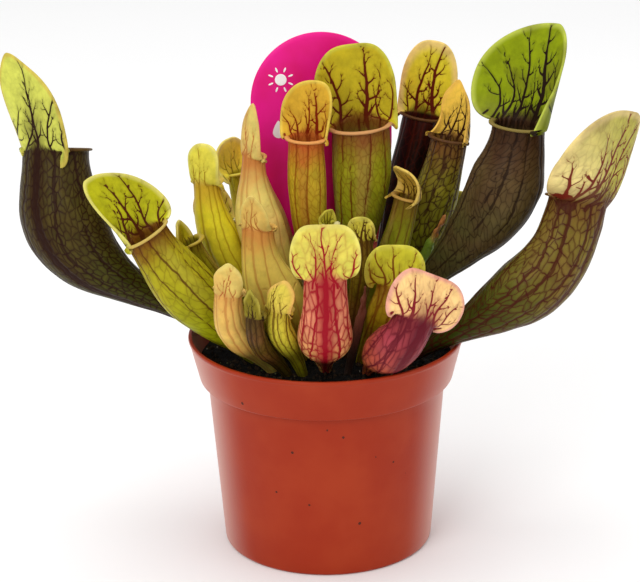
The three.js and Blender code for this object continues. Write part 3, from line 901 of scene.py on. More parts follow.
def leaf_skin_group() -> bpy.types.NodeTree:
    """The skin of every leaf: its ground colours, its veins, the fine net, the throat's stain and
    painted shade at the stalk's foot.

    Its inputs are the fields of LeafSkin: a colour for each one that is a string, and else a
    number.

    Returns:
        The node group.
    """
    grey = (0.5, 0.5, 0.5, 1.0)
    graph = new_group(
        "Leaf skin",
        {socket_name(item.name): grey if item.type is str else 0.5 for item in fields(LeafSkin)},
        {"Color": "NodeSocketColor", "Roughness": "NodeSocketFloat", "Height": "NodeSocketFloat"},
    )
    given = graph.enter.outputs
    flat, place = graph.pressed(), graph.place()
    broad = graph.noise(place, 70.0, 2.0)
    mottle = graph.noise(place, 260.0, 3.0, 0.6)
    grain = graph.noise(place, 1600.0, 2.0)
    along = graph.value("along")
    across, up = graph.value("vein_across"), graph.value("vein_up")
    away = graph.maths("SQRT", graph.maths("MULTIPLY_ADD", across, across, graph.times(up, up)))
    sharp = graph.maths("SUBTRACT", graph.value("vein_width"), away)
    vein = graph.lerp(graph.value("vein_sure"), graph.value("vein"), sharp)
    margin, inside = graph.value("margin"), graph.value("inside")
    front, lip = graph.value("front"), graph.value("lip")
    side = graph.value("side")
    above = graph.maths("SUBTRACT", along, 1.0)
    change = graph.maths("ADD", given["Soft"], 0.1)
    on_hood = graph.between(graph.maths("DIVIDE", above, change), 0, 1)

    # The fine net: cell walls of a Voronoi pattern, drawn out along the tube and bent by noise
    wobble = graph.add("ShaderNodeTexNoise")
    graph.feed(wobble, {"Vector": flat, "Scale": 38.0})
    bent = graph.add("ShaderNodeVectorMath", operation="MULTIPLY_ADD")
    graph.feed(bent, {0: flat, 1: (MAP_UNIT, 0.56 * MAP_UNIT, 1.0), 2: wobble.outputs["Color"]})
    cells = graph.add("ShaderNodeTexVoronoi", feature="DISTANCE_TO_EDGE", voronoi_dimensions="2D")
    tints = graph.add("ShaderNodeTexVoronoi", feature="F1", voronoi_dimensions="2D")
    density = graph.maths("DIVIDE", 1.0, given["Cell"])
    for texture in (cells, tints):
        graph.feed(texture, {"Vector": bent.outputs[0], "Scale": density})
    wall = graph.maths("DIVIDE", cells.outputs["Distance"], given["Net width"])
    line = graph.between(graph.maths("MULTIPLY_ADD", mottle, 0.03, wall), 0.02, 0.10, 1.0, 0.0)
    soft_line = graph.between(wall, 0.0, 0.28, 1.0, 0.0)
    tint = graph.add("ShaderNodeSeparateColor")
    graph.put(tint.inputs[0], tints.outputs["Color"])

    # The ground, from the stalk up to the hood, with painted shade at the stalk's foot
    rise = graph.between(graph.maths("MULTIPLY_ADD", broad, 0.3, along), 0.35, 1.0)
    skin = graph.blend(rise, given["Tube low"], given["Tube high"])
    hood = graph.blend(graph.between(side, -0.55, 0.05), given["Hood"], given["Far hood"])
    skin = graph.blend(on_hood, skin, hood)
    edge = graph.maths("DIVIDE", margin, given["Margin width"])
    edge = graph.between(graph.maths("MULTIPLY_ADD", mottle, 0.5, edge), 0.35, 1.25, 1.0, 0.0)
    skin = graph.blend(graph.times(edge, on_hood), skin, given["Margin"])
    flush = graph.times(graph.between(broad, 0.42, 0.66), given["Flush amount"])
    skin = graph.blend(flush, skin, given["Flush"])
    wing = graph.times(graph.between(front, 0.1, 0.9), given["Wing amount"])
    skin = graph.blend(graph.times(wing, graph.between(along, 0.3, 0.8)), skin, given["Wing"])
    middle = graph.between(graph.maths("ABSOLUTE", side), 0.02, 0.38, 1.0, 0.0)
    middle = graph.times(middle, graph.between(above, 0.0, 0.75, 1.0, 0.0), given["Spine"])
    skin = graph.blend(middle, skin, given["Stain"])
    crease = graph.times(graph.between(front, 0.04, 0.2), graph.between(front, 0.2, 0.5, 1.0, 0.0))
    skin = graph.blend(graph.times(crease, given["Crease"]), skin, given["Stain"])
    throat = graph.between(above, 0.02, 0.3, 1.0, 0.0)
    at_throat = graph.times(throat, given["Stain amount"], on_hood)
    net = graph.lerp(on_hood, given["Net tube"], given["Net hood"])
    net = graph.maths("MAXIMUM", net, graph.times(at_throat, 0.9))
    shade = graph.maths("MULTIPLY_ADD", tint.outputs[0], 0.3, 0.82)
    skin = graph.blend(net, skin, graph.blend(1.0, skin, shade, "MULTIPLY"))
    uneven_light = graph.between(mottle, 0.3, 0.7, 0.86, 1.08)
    skin = graph.blend(1.0, skin, uneven_light, "MULTIPLY")
    # Painted shade: towards the stalk's foot the colour is darkened to near black, standing in for
    # the shade inside the clump
    foot = graph.between(graph.maths("MULTIPLY_ADD", mottle, 0.1, along), 0.08, 0.3, 0.7, 0.0)
    skin = graph.blend(foot, skin, (0.02, 0.015, 0.006, 1.0))

    # Stain round the throat, strongest at the rim
    uneven = graph.maths("SUBTRACT", mottle, 0.5)
    below = graph.between(graph.maths("MULTIPLY_ADD", uneven, 0.14, above), -0.16, 0.0)
    over = graph.between(graph.maths("MULTIPLY_ADD", uneven, 0.2, above), 0.04, 0.26, 1.0, 0.0)
    stain = graph.times(below, over, given["Stain amount"])
    skin = graph.blend(stain, skin, given["Stain"])

    # Veins: a soft halo, the net and the drawn veins
    colour = graph.blend(on_hood, given["Vein"], given["Hood vein"])
    strength = graph.lerp(on_hood, given["Vein tube"], 1.0)
    halo = graph.times(graph.between(vein, -0.8, 0.1), 0.2, strength)
    skin = graph.blend(halo, skin, colour)
    fade = graph.between(margin, 0.3, 2.2)
    near = graph.between(vein, -2.6, -0.4, 0.55, 1.0)
    skin = graph.blend(graph.times(soft_line, net, fade, 0.38), skin, colour)
    skin = graph.blend(graph.times(line, net, fade, near), skin, colour)
    ragged = graph.maths("MULTIPLY_ADD", uneven, 0.3, vein)
    clear = graph.between(margin, 0.1, 0.9)
    drawn = graph.times(graph.between(ragged, -0.1, 0.06), strength, clear)
    skin = graph.blend(drawn, skin, colour)

    # The rolled lip and the hollow of the tube
    skin = graph.blend(graph.times(lip, 0.85), skin, given["Lip"])
    hollow = graph.times(inside, graph.between(along, 0.80, 1.0, 1.0, 0.0))
    skin = graph.blend(hollow, skin, given["Inside"])

    rough = graph.maths("ADD", graph.times(mottle, 0.22), 0.3)
    rough = graph.maths("ADD", rough, graph.times(drawn, 0.08))
    relief = graph.times(graph.between(wall, 0.0, 0.35), net, 0.3)
    relief = graph.maths("ADD", relief, graph.times(graph.between(vein, -0.6, 0.3), -0.7))
    relief = graph.maths("ADD", relief, graph.times(grain, 0.14))
    graph.feed(graph.leave, {"Color": skin, "Roughness": rough, "Height": relief})
    return graph.tree


class Finishes:
    """Makes the materials, and keeps the groups that they share."""

    def __init__(self) -> None:
        """Builds the shared groups once."""
        self.skin = leaf_skin_group()
        self.wear = plastic_group()

    def blank(self, name: str) -> tuple[Graph, bpy.types.Node, bpy.types.Material]:
        """A new material with a Principled BSDF, as its graph, that shader and itself.

        Args:
            name: the material's name.

        Returns:
            The three of them.
        """
        material = bpy.data.materials.new(name)
        material.use_nodes = True
        graph = Graph(material.node_tree)
        return graph, material.node_tree.nodes["Principled BSDF"], material

    def group(
        self, graph: Graph, tree: bpy.types.NodeTree, **values: Value | str
    ) -> bpy.types.Node:
        """Places a group and sets its inputs, with a string as the colour that it names.

        Args:
            graph: the graph of the material.
            tree: the group.
            values: each input's value, a colour as a string.

        Returns:
            The node.
        """
        node = graph.add("ShaderNodeGroup")
        node.node_tree = tree
        for key, value in values.items():
            value = linear(value) if isinstance(value, str) else value
            graph.put(node.inputs[socket_name(key)], value)
        return node

    def relief(self, graph: Graph, shader: bpy.types.Node, height: Socket, distance: float,
               strength: float = 1.0) -> None:
        """Feeds a height in units of distance, in metres, to the shader's normal."""
        bump = graph.add("ShaderNodeBump")
        graph.feed(bump, {"Strength": strength, "Distance": distance, "Height": height})
        graph.put(shader.inputs["Normal"], bump.outputs[0])

    def leaf(self, name: str, skin: LeafSkin) -> bpy.types.Material:
        """A waxy, slightly see-through leaf with the shared skin in its own colours.

        Args:
            name: the material's name.
            skin: the leaf's own colours and amounts.

        Returns:
            The material.
        """
        graph, shader, material = self.blank(name)
        colours = {
            "far_hood": skin.far_hood or skin.hood,
            "hood_vein": skin.hood_vein or skin.vein,
        }
        node = self.group(graph, self.skin, **(vars(skin) | colours))
        graph.feed(shader, {
            "Base Color": node.outputs["Color"],
            "Roughness": node.outputs["Roughness"],
            "Subsurface Weight": 0.04,
            "Subsurface Scale": 0.0008,
            "Subsurface Radius": (1.0, 0.7, 0.25),
            "Specular IOR Level": 0.07,
        })
        self.relief(graph, shader, node.outputs["Height"], 0.0003, 0.8)
        return material

    def dry_leaf(self, name: str, low: str, high: str, change: Pair) -> bpy.types.Material:
        """A bud or dying leaf: one colour below and another above, with fine lengthwise streaks.

        Args:
            name: the material's name.
            low: the colour below.
            high: the colour above.
            change: between which shares of the length the colour changes.

        Returns:
            The material.
        """
        graph, shader, material = self.blank(name)
        streaks = graph.noise(graph.stretch(graph.pressed(), (900.0, 60.0, 1.0)), 1.0, 3.0, 0.6)
        patches = graph.noise(graph.place(), 320.0, 3.0, 0.6)
        along = graph.maths("MULTIPLY_ADD", patches, 0.12, graph.value("along"))
        colour = graph.blend(graph.between(along, *change), linear(low), linear(high))
        dark = graph.maths("MULTIPLY_ADD", streaks, 0.7, 0.6)
        colour = graph.blend(1.0, colour, dark, "MULTIPLY")
        rough = graph.maths("MULTIPLY_ADD", patches, 0.3, 0.4)
        graph.feed(shader, {"Base Color": colour, "Roughness": rough})
        self.relief(graph, shader, streaks, 0.0003)
        return material

    def plastic(self, name: str, colour: str, worn: str, roughness: float,
                grime: float, painted_reflection: float = 0.0) -> bpy.types.Material:
        """Moulded plastic with faint clouding, fine scratches and specks of peat.

        Where an upright face is seen at a slant, a pale painted reflection of the bright
        surroundings is blended into its colour.

        Args:
            name: the material's name.
            colour: the plain colour.
            worn: the colour where it is worn.
            roughness: the plain roughness.
            grime: how strong the specks are.
            painted_reflection: how strongly that painted reflection is blended in at a slant.

        Returns:
            The material.
        """
        graph, shader, material = self.blank(name)
        node = self.group(
            graph, self.wear, colour=colour, worn=worn, grime=grime, roughness=roughness
        )
        colour = node.outputs["Color"]
        if painted_reflection > 0:
            # Painted reflection: a pale pink blended in on upright faces seen at a slant, standing
            # in for the grazing reflection of the bright surroundings
            weight = graph.add("ShaderNodeLayerWeight")
            weight.inputs["Blend"].default_value = 0.5
            slant = graph.between(weight.outputs["Facing"], 0.4, 1.0)
            split = graph.add("ShaderNodeSeparateXYZ")
            graph.put(split.inputs[0], graph.add("ShaderNodeTexCoord").outputs["Normal"])
            level = graph.maths("ABSOLUTE", split.outputs["Z"])
            upright = graph.between(level, 0.3, 0.6, 1.0, 0.0)
            colour = graph.blend(graph.times(slant, upright, painted_reflection), colour, linear("E6BCB0"))
        graph.feed(shader, {
            "Base Color": colour,
            "Roughness": node.outputs["Roughness"],
            "Specular IOR Level": 0.18,
        })
        self.relief(graph, shader, node.outputs["Height"], 0.0002, 0.5)
        return material

    def peat(self, name: str, dark: str, light: str, damp: float) -> bpy.types.Material:
        """Damp peat or another crumb: two browns in fine noise, shinier where it is wet.

        Args:
            name: the material's name.
            dark: the darker colour.
            light: the lighter colour.
            damp: how much smoother the wet parts are.

        Returns:
            The material.
        """
        graph, shader, material = self.blank(name)
        place = graph.place()
        coarse = graph.noise(place, 420.0, 4.0, 0.65)
        fine = graph.noise(place, 2200.0, 3.0, 0.6)
        fibres = graph.noise(graph.stretch(place, (1.0, 4.0, 2.0)), 900.0, 2.0)
        share = graph.between(graph.maths("MULTIPLY_ADD", fine, 0.5, coarse), 0.6, 1.0)
        brown = graph.blend(share, linear(dark), linear(light))
        wet = graph.between(coarse, 0.35, 0.6, 0.95, 0.95 - damp)
        graph.feed(shader, {"Base Color": brown, "Roughness": wet, "Specular IOR Level": 0.2})
        height = graph.maths("MULTIPLY_ADD", fibres, 0.5, graph.maths("ADD", coarse, fine))
        self.relief(graph, shader, height, 0.0012)
        return material

    def floor(self) -> bpy.types.Material:
        """A plain pale floor with the faintest mottling.

        Returns:
            The material.
        """
        graph, shader, material = self.blank("pale floor")
        share = graph.noise(graph.place(), 3.0, 2.0)
        colour = graph.blend(share, linear("FEFEFE"), linear("FAFAFA"))
        graph.feed(shader, {"Base Color": colour, "Roughness": 0.8, "Specular IOR Level": 0.1})
        return material


def plastic_group() -> bpy.types.NodeTree:
    """The shared wear of moulded plastic: clouding, upright scratches, specks and flow marks.

    Returns:
        The node group.
    """
    grey = (0.5, 0.5, 0.5, 1.0)
    graph = new_group(
        "Moulded plastic",
        {"Colour": grey, "Worn": grey, "Grime": 0.5, "Roughness": 0.4},
        {"Color": "NodeSocketColor", "Roughness": "NodeSocketFloat", "Height": "NodeSocketFloat"},
    )
    given, place = graph.enter.outputs, graph.place()
    cloud = graph.noise(place, 45.0, 3.0, 0.55)
    fine = graph.noise(place, 900.0, 3.0, 0.6)
    scuffs = graph.noise(graph.stretch(place, (1.0, 1.0, 0.12)), 420.0, 4.0, 0.7)
    colour = graph.blend(graph.between(cloud, 0.35, 0.7), given["Colour"], given["Worn"])
    scuffed = graph.times(graph.between(scuffs, 0.60, 0.72), 0.18)
    colour = graph.blend(scuffed, colour, given["Worn"])
    specks = graph.add("ShaderNodeTexVoronoi", feature="F1")
    graph.feed(specks, {"Vector": place, "Scale": 190.0})
    chance = graph.add("ShaderNodeSeparateColor")
    graph.put(chance.inputs[0], specks.outputs["Color"])
    size = graph.between(chance.outputs[0], 0.5, 1.0, 0.0, 0.15)
    ragged = graph.maths("MULTIPLY_ADD", fine, -0.08, size)
    speck = graph.maths("GREATER_THAN", ragged, specks.outputs["Distance"])
    speck = graph.times(speck, given["Grime"])
    colour = graph.blend(speck, colour, linear("3A2018"))
    rough = graph.maths("MULTIPLY_ADD", cloud, 0.12, given["Roughness"])
    rough = graph.maths("MULTIPLY_ADD", speck, 0.3, rough)
    height = graph.maths("MULTIPLY_ADD", fine, 0.35, cloud)
    height = graph.maths("MULTIPLY_ADD", speck, 0.8, height)
    graph.feed(graph.leave, {"Color": colour, "Roughness": rough, "Height": height})
    return graph.tree


def surface_normals(points: Array) -> Array:
    """Outward normals of a closed grid: the step round a row crossed with the one up a column.

    Args:
        points: rows x columns x 3, closed round the columns.

    Returns:
        A unit normal at each point.
    """
    round_row = np.roll(points, -1, 1) - np.roll(points, 1, 1)
    up_column = np.gradient(points, axis=0)
    normal = np.cross(round_row, up_column)
    return normal / (np.linalg.norm(normal, axis=2, keepdims=True) + 1e-9)


def smooth_noise(x: Array, y: Array, cell: float, seed: int) -> Array:
    """Value noise between -1 and 1: random lattice values a cell apart, blended by smooth steps.

    Args:
        x: places across, in millimetres.
        y: places up, in millimetres.
        cell: the lattice's spacing.
        seed: the seed of the lattice.

    Returns:
        A value at each place.
    """
    size = 64
    lattice = np.random.default_rng(seed).uniform(-1, 1, (size, size))
    x, y = x / cell + size / 2, y / cell + size / 2
    column, row = np.floor(x).astype(int), np.floor(y).astype(int)
    across, down = ease(x - column), ease(y - row)

    def corner(i: int, j: int) -> Array:
        """The lattice value i rows and j columns on."""
        return lattice[(row + i) % size, (column + j) % size]

    low = mix(corner(0, 0), corner(0, 1), across)
    high = mix(corner(1, 0), corner(1, 1), across)
    return mix(low, high, down)


@dataclass(frozen=True)
class Pitcher:
    """One pitcher leaf: a winged tube with a rolled lip in front and a hood behind."""

    node: str
    slot: str
    shape: LeafShape
    skin: LeafSkin
    veins: Venation
    detail: Detail = Detail.SMALL

    hollow_from = 0.5
    unevenness = 0.22
    far_from_edge = 20.0

    def turns(self) -> Array:
        """Column angles from the back, then round the front.

        Across the hood the columns share out its edge's length and its angle, half and half.

        Returns:
            One angle for each column.
        """
        hood, front, _, _ = self.detail.value
        span = self.shape.rim_span
        gap = 2 * (math.pi - span)
        fine = np.linspace(-1, 1, 801)
        steps = np.linalg.norm(np.diff(self.shape.hood_edge(fine), axis=0), axis=1)
        run = np.concatenate([[0], np.cumsum(steps)])
        even = mix(2 * run / run[-1] - 1, fine, 0.5)
        return np.concatenate([
            span * np.interp(np.linspace(-1, 1, hood), even, fine),
            span + gap * np.arange(1, front + 1) / (front + 1),
        ])

    def outside(self, u: Array, k: Array, turn: Array) -> Array:
        """The tube's rows and then the hood's, with a slight unevenness of the grown surface.

        Args:
            u: places along the axis, 0 at its foot and 1 at the mouth.
            k: how far up the hood, 0 at the rim and 1 at its edge.
            turn: angles round the tube from the back, positive to one side.

        Returns:
            Points, rows x columns x 3.
        """
        points = np.concatenate([self.shape.tube(u, turn), self.shape.collar(turn, k)])
        uneven = smooth_noise(points[..., 0] + points[..., 1], points[..., 2], 6.0, self.veins.seed)
        height = np.concatenate([ease(u / 0.4), 1 - k])[:, None]
        return points + (self.unevenness * uneven * height)[..., None] * surface_normals(points)

    def grid(self) -> ClosedGrid:
        """The whole closed surface: outside up to the hood's edge, and inside down to its floor.

        Returns:
            The surface, with the values that its skin reads.
        """
        _, _, tube_rows, hood_rows = self.detail.value
        shape = self.shape
        u = np.linspace(0, 1, tube_rows + 1)
        k = np.linspace(0, 1, hood_rows + 1)[1:]
        turn = self.turns()
        outer = self.outside(u, k, turn)
        normals = surface_normals(outer)
        first = int(self.hollow_from * tube_rows)
        turned_away = math.sin(math.radians(shape.facing)) > 0
        hood_step = 2 if turned_away else 1
        hidden = [*range(first, tube_rows, 3), *range(tube_rows, len(outer) - 1, hood_step)]
        hidden.append(len(outer) - 1)
        inner = (outer - shape.wall * normals)[hidden][::-1]
        beyond = outer[-1] - outer[-2]
        beyond /= np.linalg.norm(beyond, axis=1, keepdims=True)
        rounded = (outer[-1] + inner[0]) / 2 + 0.3 * shape.wall * beyond
        around = np.append(turn, turn[0] + 2 * math.pi)
        total = shape.length(np.array([1.0]))[0]
        up = np.repeat((shape.length(u) - total)[:, None], len(around), 1)
        flat_tube = np.stack([shape.pressed_rim(around, u), up], -1)
        flat = np.concatenate([flat_tube, shape.pressed_collar(around, k)])
        vein = self.veins.field(shape, flat[:, :-1], u)
        _, to_lip = shape.shares(turn)
        reach = np.linalg.norm(outer[-1] - outer[tube_rows], axis=1)
        round_front = np.exp(-(((math.pi - np.abs(wrapped(turn))) / 0.3) ** 2))
        columns = np.ones(len(turn))
        rows = np.concatenate([u, k])
        values = {
            "vein_across": vein[..., 0],
            "vein_up": vein[..., 1],
            "vein_width": vein[..., 2],
            "vein": vein[..., 3],
            "vein_sure": vein[..., 4],
            "along": np.concatenate([u[:, None] * columns, 1 + k[:, None] * (1 - 0.95 * to_lip)]),
            "margin": np.concatenate([
                np.full((len(u), len(turn)), self.far_from_edge),
                mix((1 - k)[:, None] * reach, self.far_from_edge, to_lip),
            ]),
            "front": np.concatenate([u[:, None] * 0 + round_front, k[:, None] * 0 * columns]),
            "side": rows[:, None] * 0 + shape.shares(turn)[0],
            "lip": np.concatenate([u[:, None] * 0 * columns, ease(k / 0.5)[:, None] * to_lip]),
        }
        both = {name: self.folded(value, hidden) for name, value in values.items()}
        both["inside"] = self.folded(0 * rows[:, None] * columns, hidden, 1.0)
        points = np.concatenate([outer, rounded[None], inner])
        pressed = np.concatenate([flat, flat[-1:], flat[hidden][::-1]])
        foot = shape.axis(np.array([0.0]))[0][0]
        floor = shape.axis(u[first : first + 1])[0][0]
        return ClosedGrid(points, (foot, floor), pressed, both)

    def folded(self, value: Array, hidden: list[int], add: float = 0.0) -> Array:
        """A value of the outside carried over the edge and down the inside, plus add there."""
        return np.concatenate([value, value[-1:] + add, value[hidden][::-1] + add])

    def build(self, finishes: Finishes) -> bpy.types.Object:
        """Makes the leaf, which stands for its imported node.

        Args:
            finishes: makes the materials.

        Returns:
            The piece.
        """
        piece = self.grid().to_object(f"leaf_{self.node}", finishes.leaf(self.node, self.skin))
        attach(piece, "root")
        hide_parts(self.node)
        return piece


@dataclass(frozen=True)
class Bud:
    """A leaf that never opened: a spindle, crumpled towards its tip."""

    node: str
    slot: str
    shape: LeafShape
    low: str
    high: str
    change: Pair
    crumple: float = 0.5

    def build(self, finishes: Finishes) -> bpy.types.Object:
        """Makes the bud: rings round its axis, pushed about near the tip by noise.

        Args:
            finishes: makes the materials.

        Returns:
            The piece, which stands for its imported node.
        """
        u = np.linspace(0, 0.985, 60)
        turn = np.linspace(-math.pi, math.pi, 25)[:-1]
        points = self.shape.tube(u, turn)
        push = smooth_noise(points[..., 0] * 2 + points[..., 1] * 3, points[..., 2], 2.2, 5)
        push = self.crumple * push * ease((u - 0.5) / 0.3)[:, None]
        points += push[..., None] * surface_normals(points)
        around = np.append(turn, math.pi)
        up = np.repeat(self.shape.length(u)[:, None], len(around), 1)
        flat = np.stack([self.shape.pressed_rim(around, u), up], -1)
        ends = self.shape.axis(np.array([0.0, 1.0]))[0]
        values = {"along": np.repeat(u[:, None], len(turn), 1)}
        grid = ClosedGrid(points, (ends[0], ends[1]), flat, values)
        finish = finishes.dry_leaf(self.node, self.low, self.high, self.change)
        piece = grid.to_object(f"bud_{self.node}", finish)
        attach(piece, "root")
        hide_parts(self.node)
        return piece


def rounded_profile(corners: list[tuple[float, float, float]], steps: int = 6) -> Array:
    """A profile whose corners are rounded.

    Each corner is (radius from the axis, height, rounding). It becomes a quadratic Bezier curve
    between the points that lie the rounding's length away along both of its sides.

    Args:
        corners: the corners, of which the first and last stay sharp.
        steps: how many points each rounded corner gets.

    Returns:
        The profile, n x 2.
    """
    points = np.array([c[:2] for c in corners], float)
    result = [points[:1]]
    for i in range(1, len(points) - 1):
        corner, size = points[i], corners[i][2]
        before, after = points[i - 1] - corner, points[i + 1] - corner
        start = corner + before / np.linalg.norm(before) * size
        end = corner + after / np.linalg.norm(after) * size
        t = np.linspace(0, 1, steps)[:, None]
        result.append((1 - t) ** 2 * start + 2 * t * (1 - t) * corner + t**2 * end)
    return np.concatenate([*result, points[-1:]])


def evened(profile: Array, spacing: float) -> Array:
    """A profile with points added on its long straight stretches, no more than spacing apart.

    Args:
        profile: n x 2 points.
        spacing: the longest step that is left.

    Returns:
        The profile with its added points.
    """
    pieces = []
    for start, end in zip(profile[:-1], profile[1:]):
        count = max(int(np.linalg.norm(end - start) / spacing), 1)
        pieces.append(mix(start, end, np.arange(count)[:, None] / count))
    return np.concatenate([*pieces, profile[-1:]])


def turned(profile: Array, sides: int) -> ClosedGrid:
    """A profile of (radius, height) turned about the vertical axis, starting and ending on it.

    Args:
        profile: n x 2 points.
        sides: how many columns there are.

    Returns:
        The turned surface.
    """
    angle = np.arange(sides) * 2 * math.pi / sides
    inner = profile[1:-1]
    across = inner[:, :1] * np.cos(angle)
    deep = inner[:, :1] * np.sin(angle)
    up = np.repeat(inner[:, 1:], sides, 1)
    around = np.append(angle, 2 * math.pi)
    run = np.concatenate([[0], np.cumsum(np.linalg.norm(np.diff(inner, axis=0), axis=1))])
    unrolled_at = 40.0
    pressed = np.stack(np.broadcast_arrays(around[None] * unrolled_at, run[:, None]), -1)
    poles = (np.array([0, 0, profile[0, 1]]), np.array([0, 0, profile[-1, 1]]))
    return ClosedGrid(np.stack([across, deep, up], -1), poles, pressed)


@dataclass(frozen=True)
class NurseryPot:
    """A tapered round pot with a stepped, flaring band under its rim and holes in its floor."""

    height: float = 71.5
    rim: float = 45.0
    band_foot: float = 41.5
    band_foot_height: float = 57.2
    body_top: float = 38.9
    base: float = 34.5
    wall: float = 1.3
    floor: float = 1.6
    hole: float = 3.6
    hole_ring: float = 22.0
    holes: int = 6
    sides: int = 144
    rod_sides: int = 18

    def inner(self, height: float) -> float:
        """The body's inner radius at a height: its taper less the wall."""
        return float(mix(self.base, self.body_top, height / self.band_foot_height)) - self.wall

    def profile(self) -> Array:
        """Outline from the middle of the underside, up the outside and down the inside.

        Returns:
            n x 2: radius and height.
        """
        step = self.band_foot_height
        return rounded_profile([
            (0, 0, 0),
            (self.base - 4.2, 0, 0.4),
            (self.base - 3.4, 0.5, 0.3),
            (self.base - 2.6, 0, 0.3),
            (self.base - 0.1, 0, 1.1),
            (self.body_top, step - 0.4, 0.9),
            (self.band_foot - 0.1, step - 0.1, 0.7),
            (self.rim - 0.4, self.height - 1.4, 0.4),
            (self.rim, self.height - 0.9, 0.3),
            (self.rim - 0.2, self.height, 0.35),
            (self.rim - self.wall, self.height, 0.4),
            (self.band_foot - self.wall, step + 0.6, 0.8),
            (self.inner(step - 2), step - 2, 0.8),
            (self.inner(self.floor), self.floor, 1.5),
            (0, self.floor, 0),
        ])

    def drill(self, piece: bpy.types.Object) -> None:
        """Cuts the drainage holes with upright rods and keeps the cut mesh.

        Args:
            piece: the pot, which is changed in place.
        """
        sides, low, high = self.rod_sides, -3.0, 5.0
        angle = np.linspace(0, 2 * math.pi, sides + 1)[:-1]
        for i in range(self.holes):
            turn = 2 * math.pi * i / self.holes
            middle = self.hole_ring * np.array([math.cos(turn), math.sin(turn)])
            ring = middle + self.hole * np.stack([np.cos(angle), np.sin(angle)], -1)
            rows = [np.column_stack([ring, np.full(sides, z)]) for z in (low, high)]
            ends = (np.append(middle, low), np.append(middle, high))
            rod = ClosedGrid(np.stack(rows), ends, np.zeros((2, sides + 1, 2)))
            cutter = rod.to_object(f"rod_{i}", piece.data.materials[0])
            cut = piece.modifiers.new("hole", "BOOLEAN")
            cut.object = cutter
            cut.operation = "DIFFERENCE"
            shaped = bpy.data.meshes.new_from_object(
                piece.evaluated_get(bpy.context.evaluated_depsgraph_get())
            )
            piece.modifiers.clear()
            piece.data = shaped
            bpy.data.objects.remove(cutter)

    def build(self, finishes: Finishes) -> bpy.types.Object:
        """Makes the pot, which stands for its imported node.

        Args:
            finishes: makes the materials.

        Returns:
            The piece.
        """
        # The last number is the strength of the painted reflection on the pot's slanting sides
        finish = finishes.plastic("terracotta plastic", "982A0A", "A03412", 0.36, 0.9, 0.6)
        piece = turned(evened(self.profile(), 3.0), self.sides).to_object("nursery_pot", finish)
        self.drill(piece)
        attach(piece, "root")
        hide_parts("pot")
        return piece


def rotated(a: Array, b: Array, angle: Array) -> tuple[Array, Array]:
    """The pair a, b turned by an angle: a cos - b sin, a sin + b cos."""
    return a * np.cos(angle) - b * np.sin(angle), a * np.sin(angle) + b * np.cos(angle)


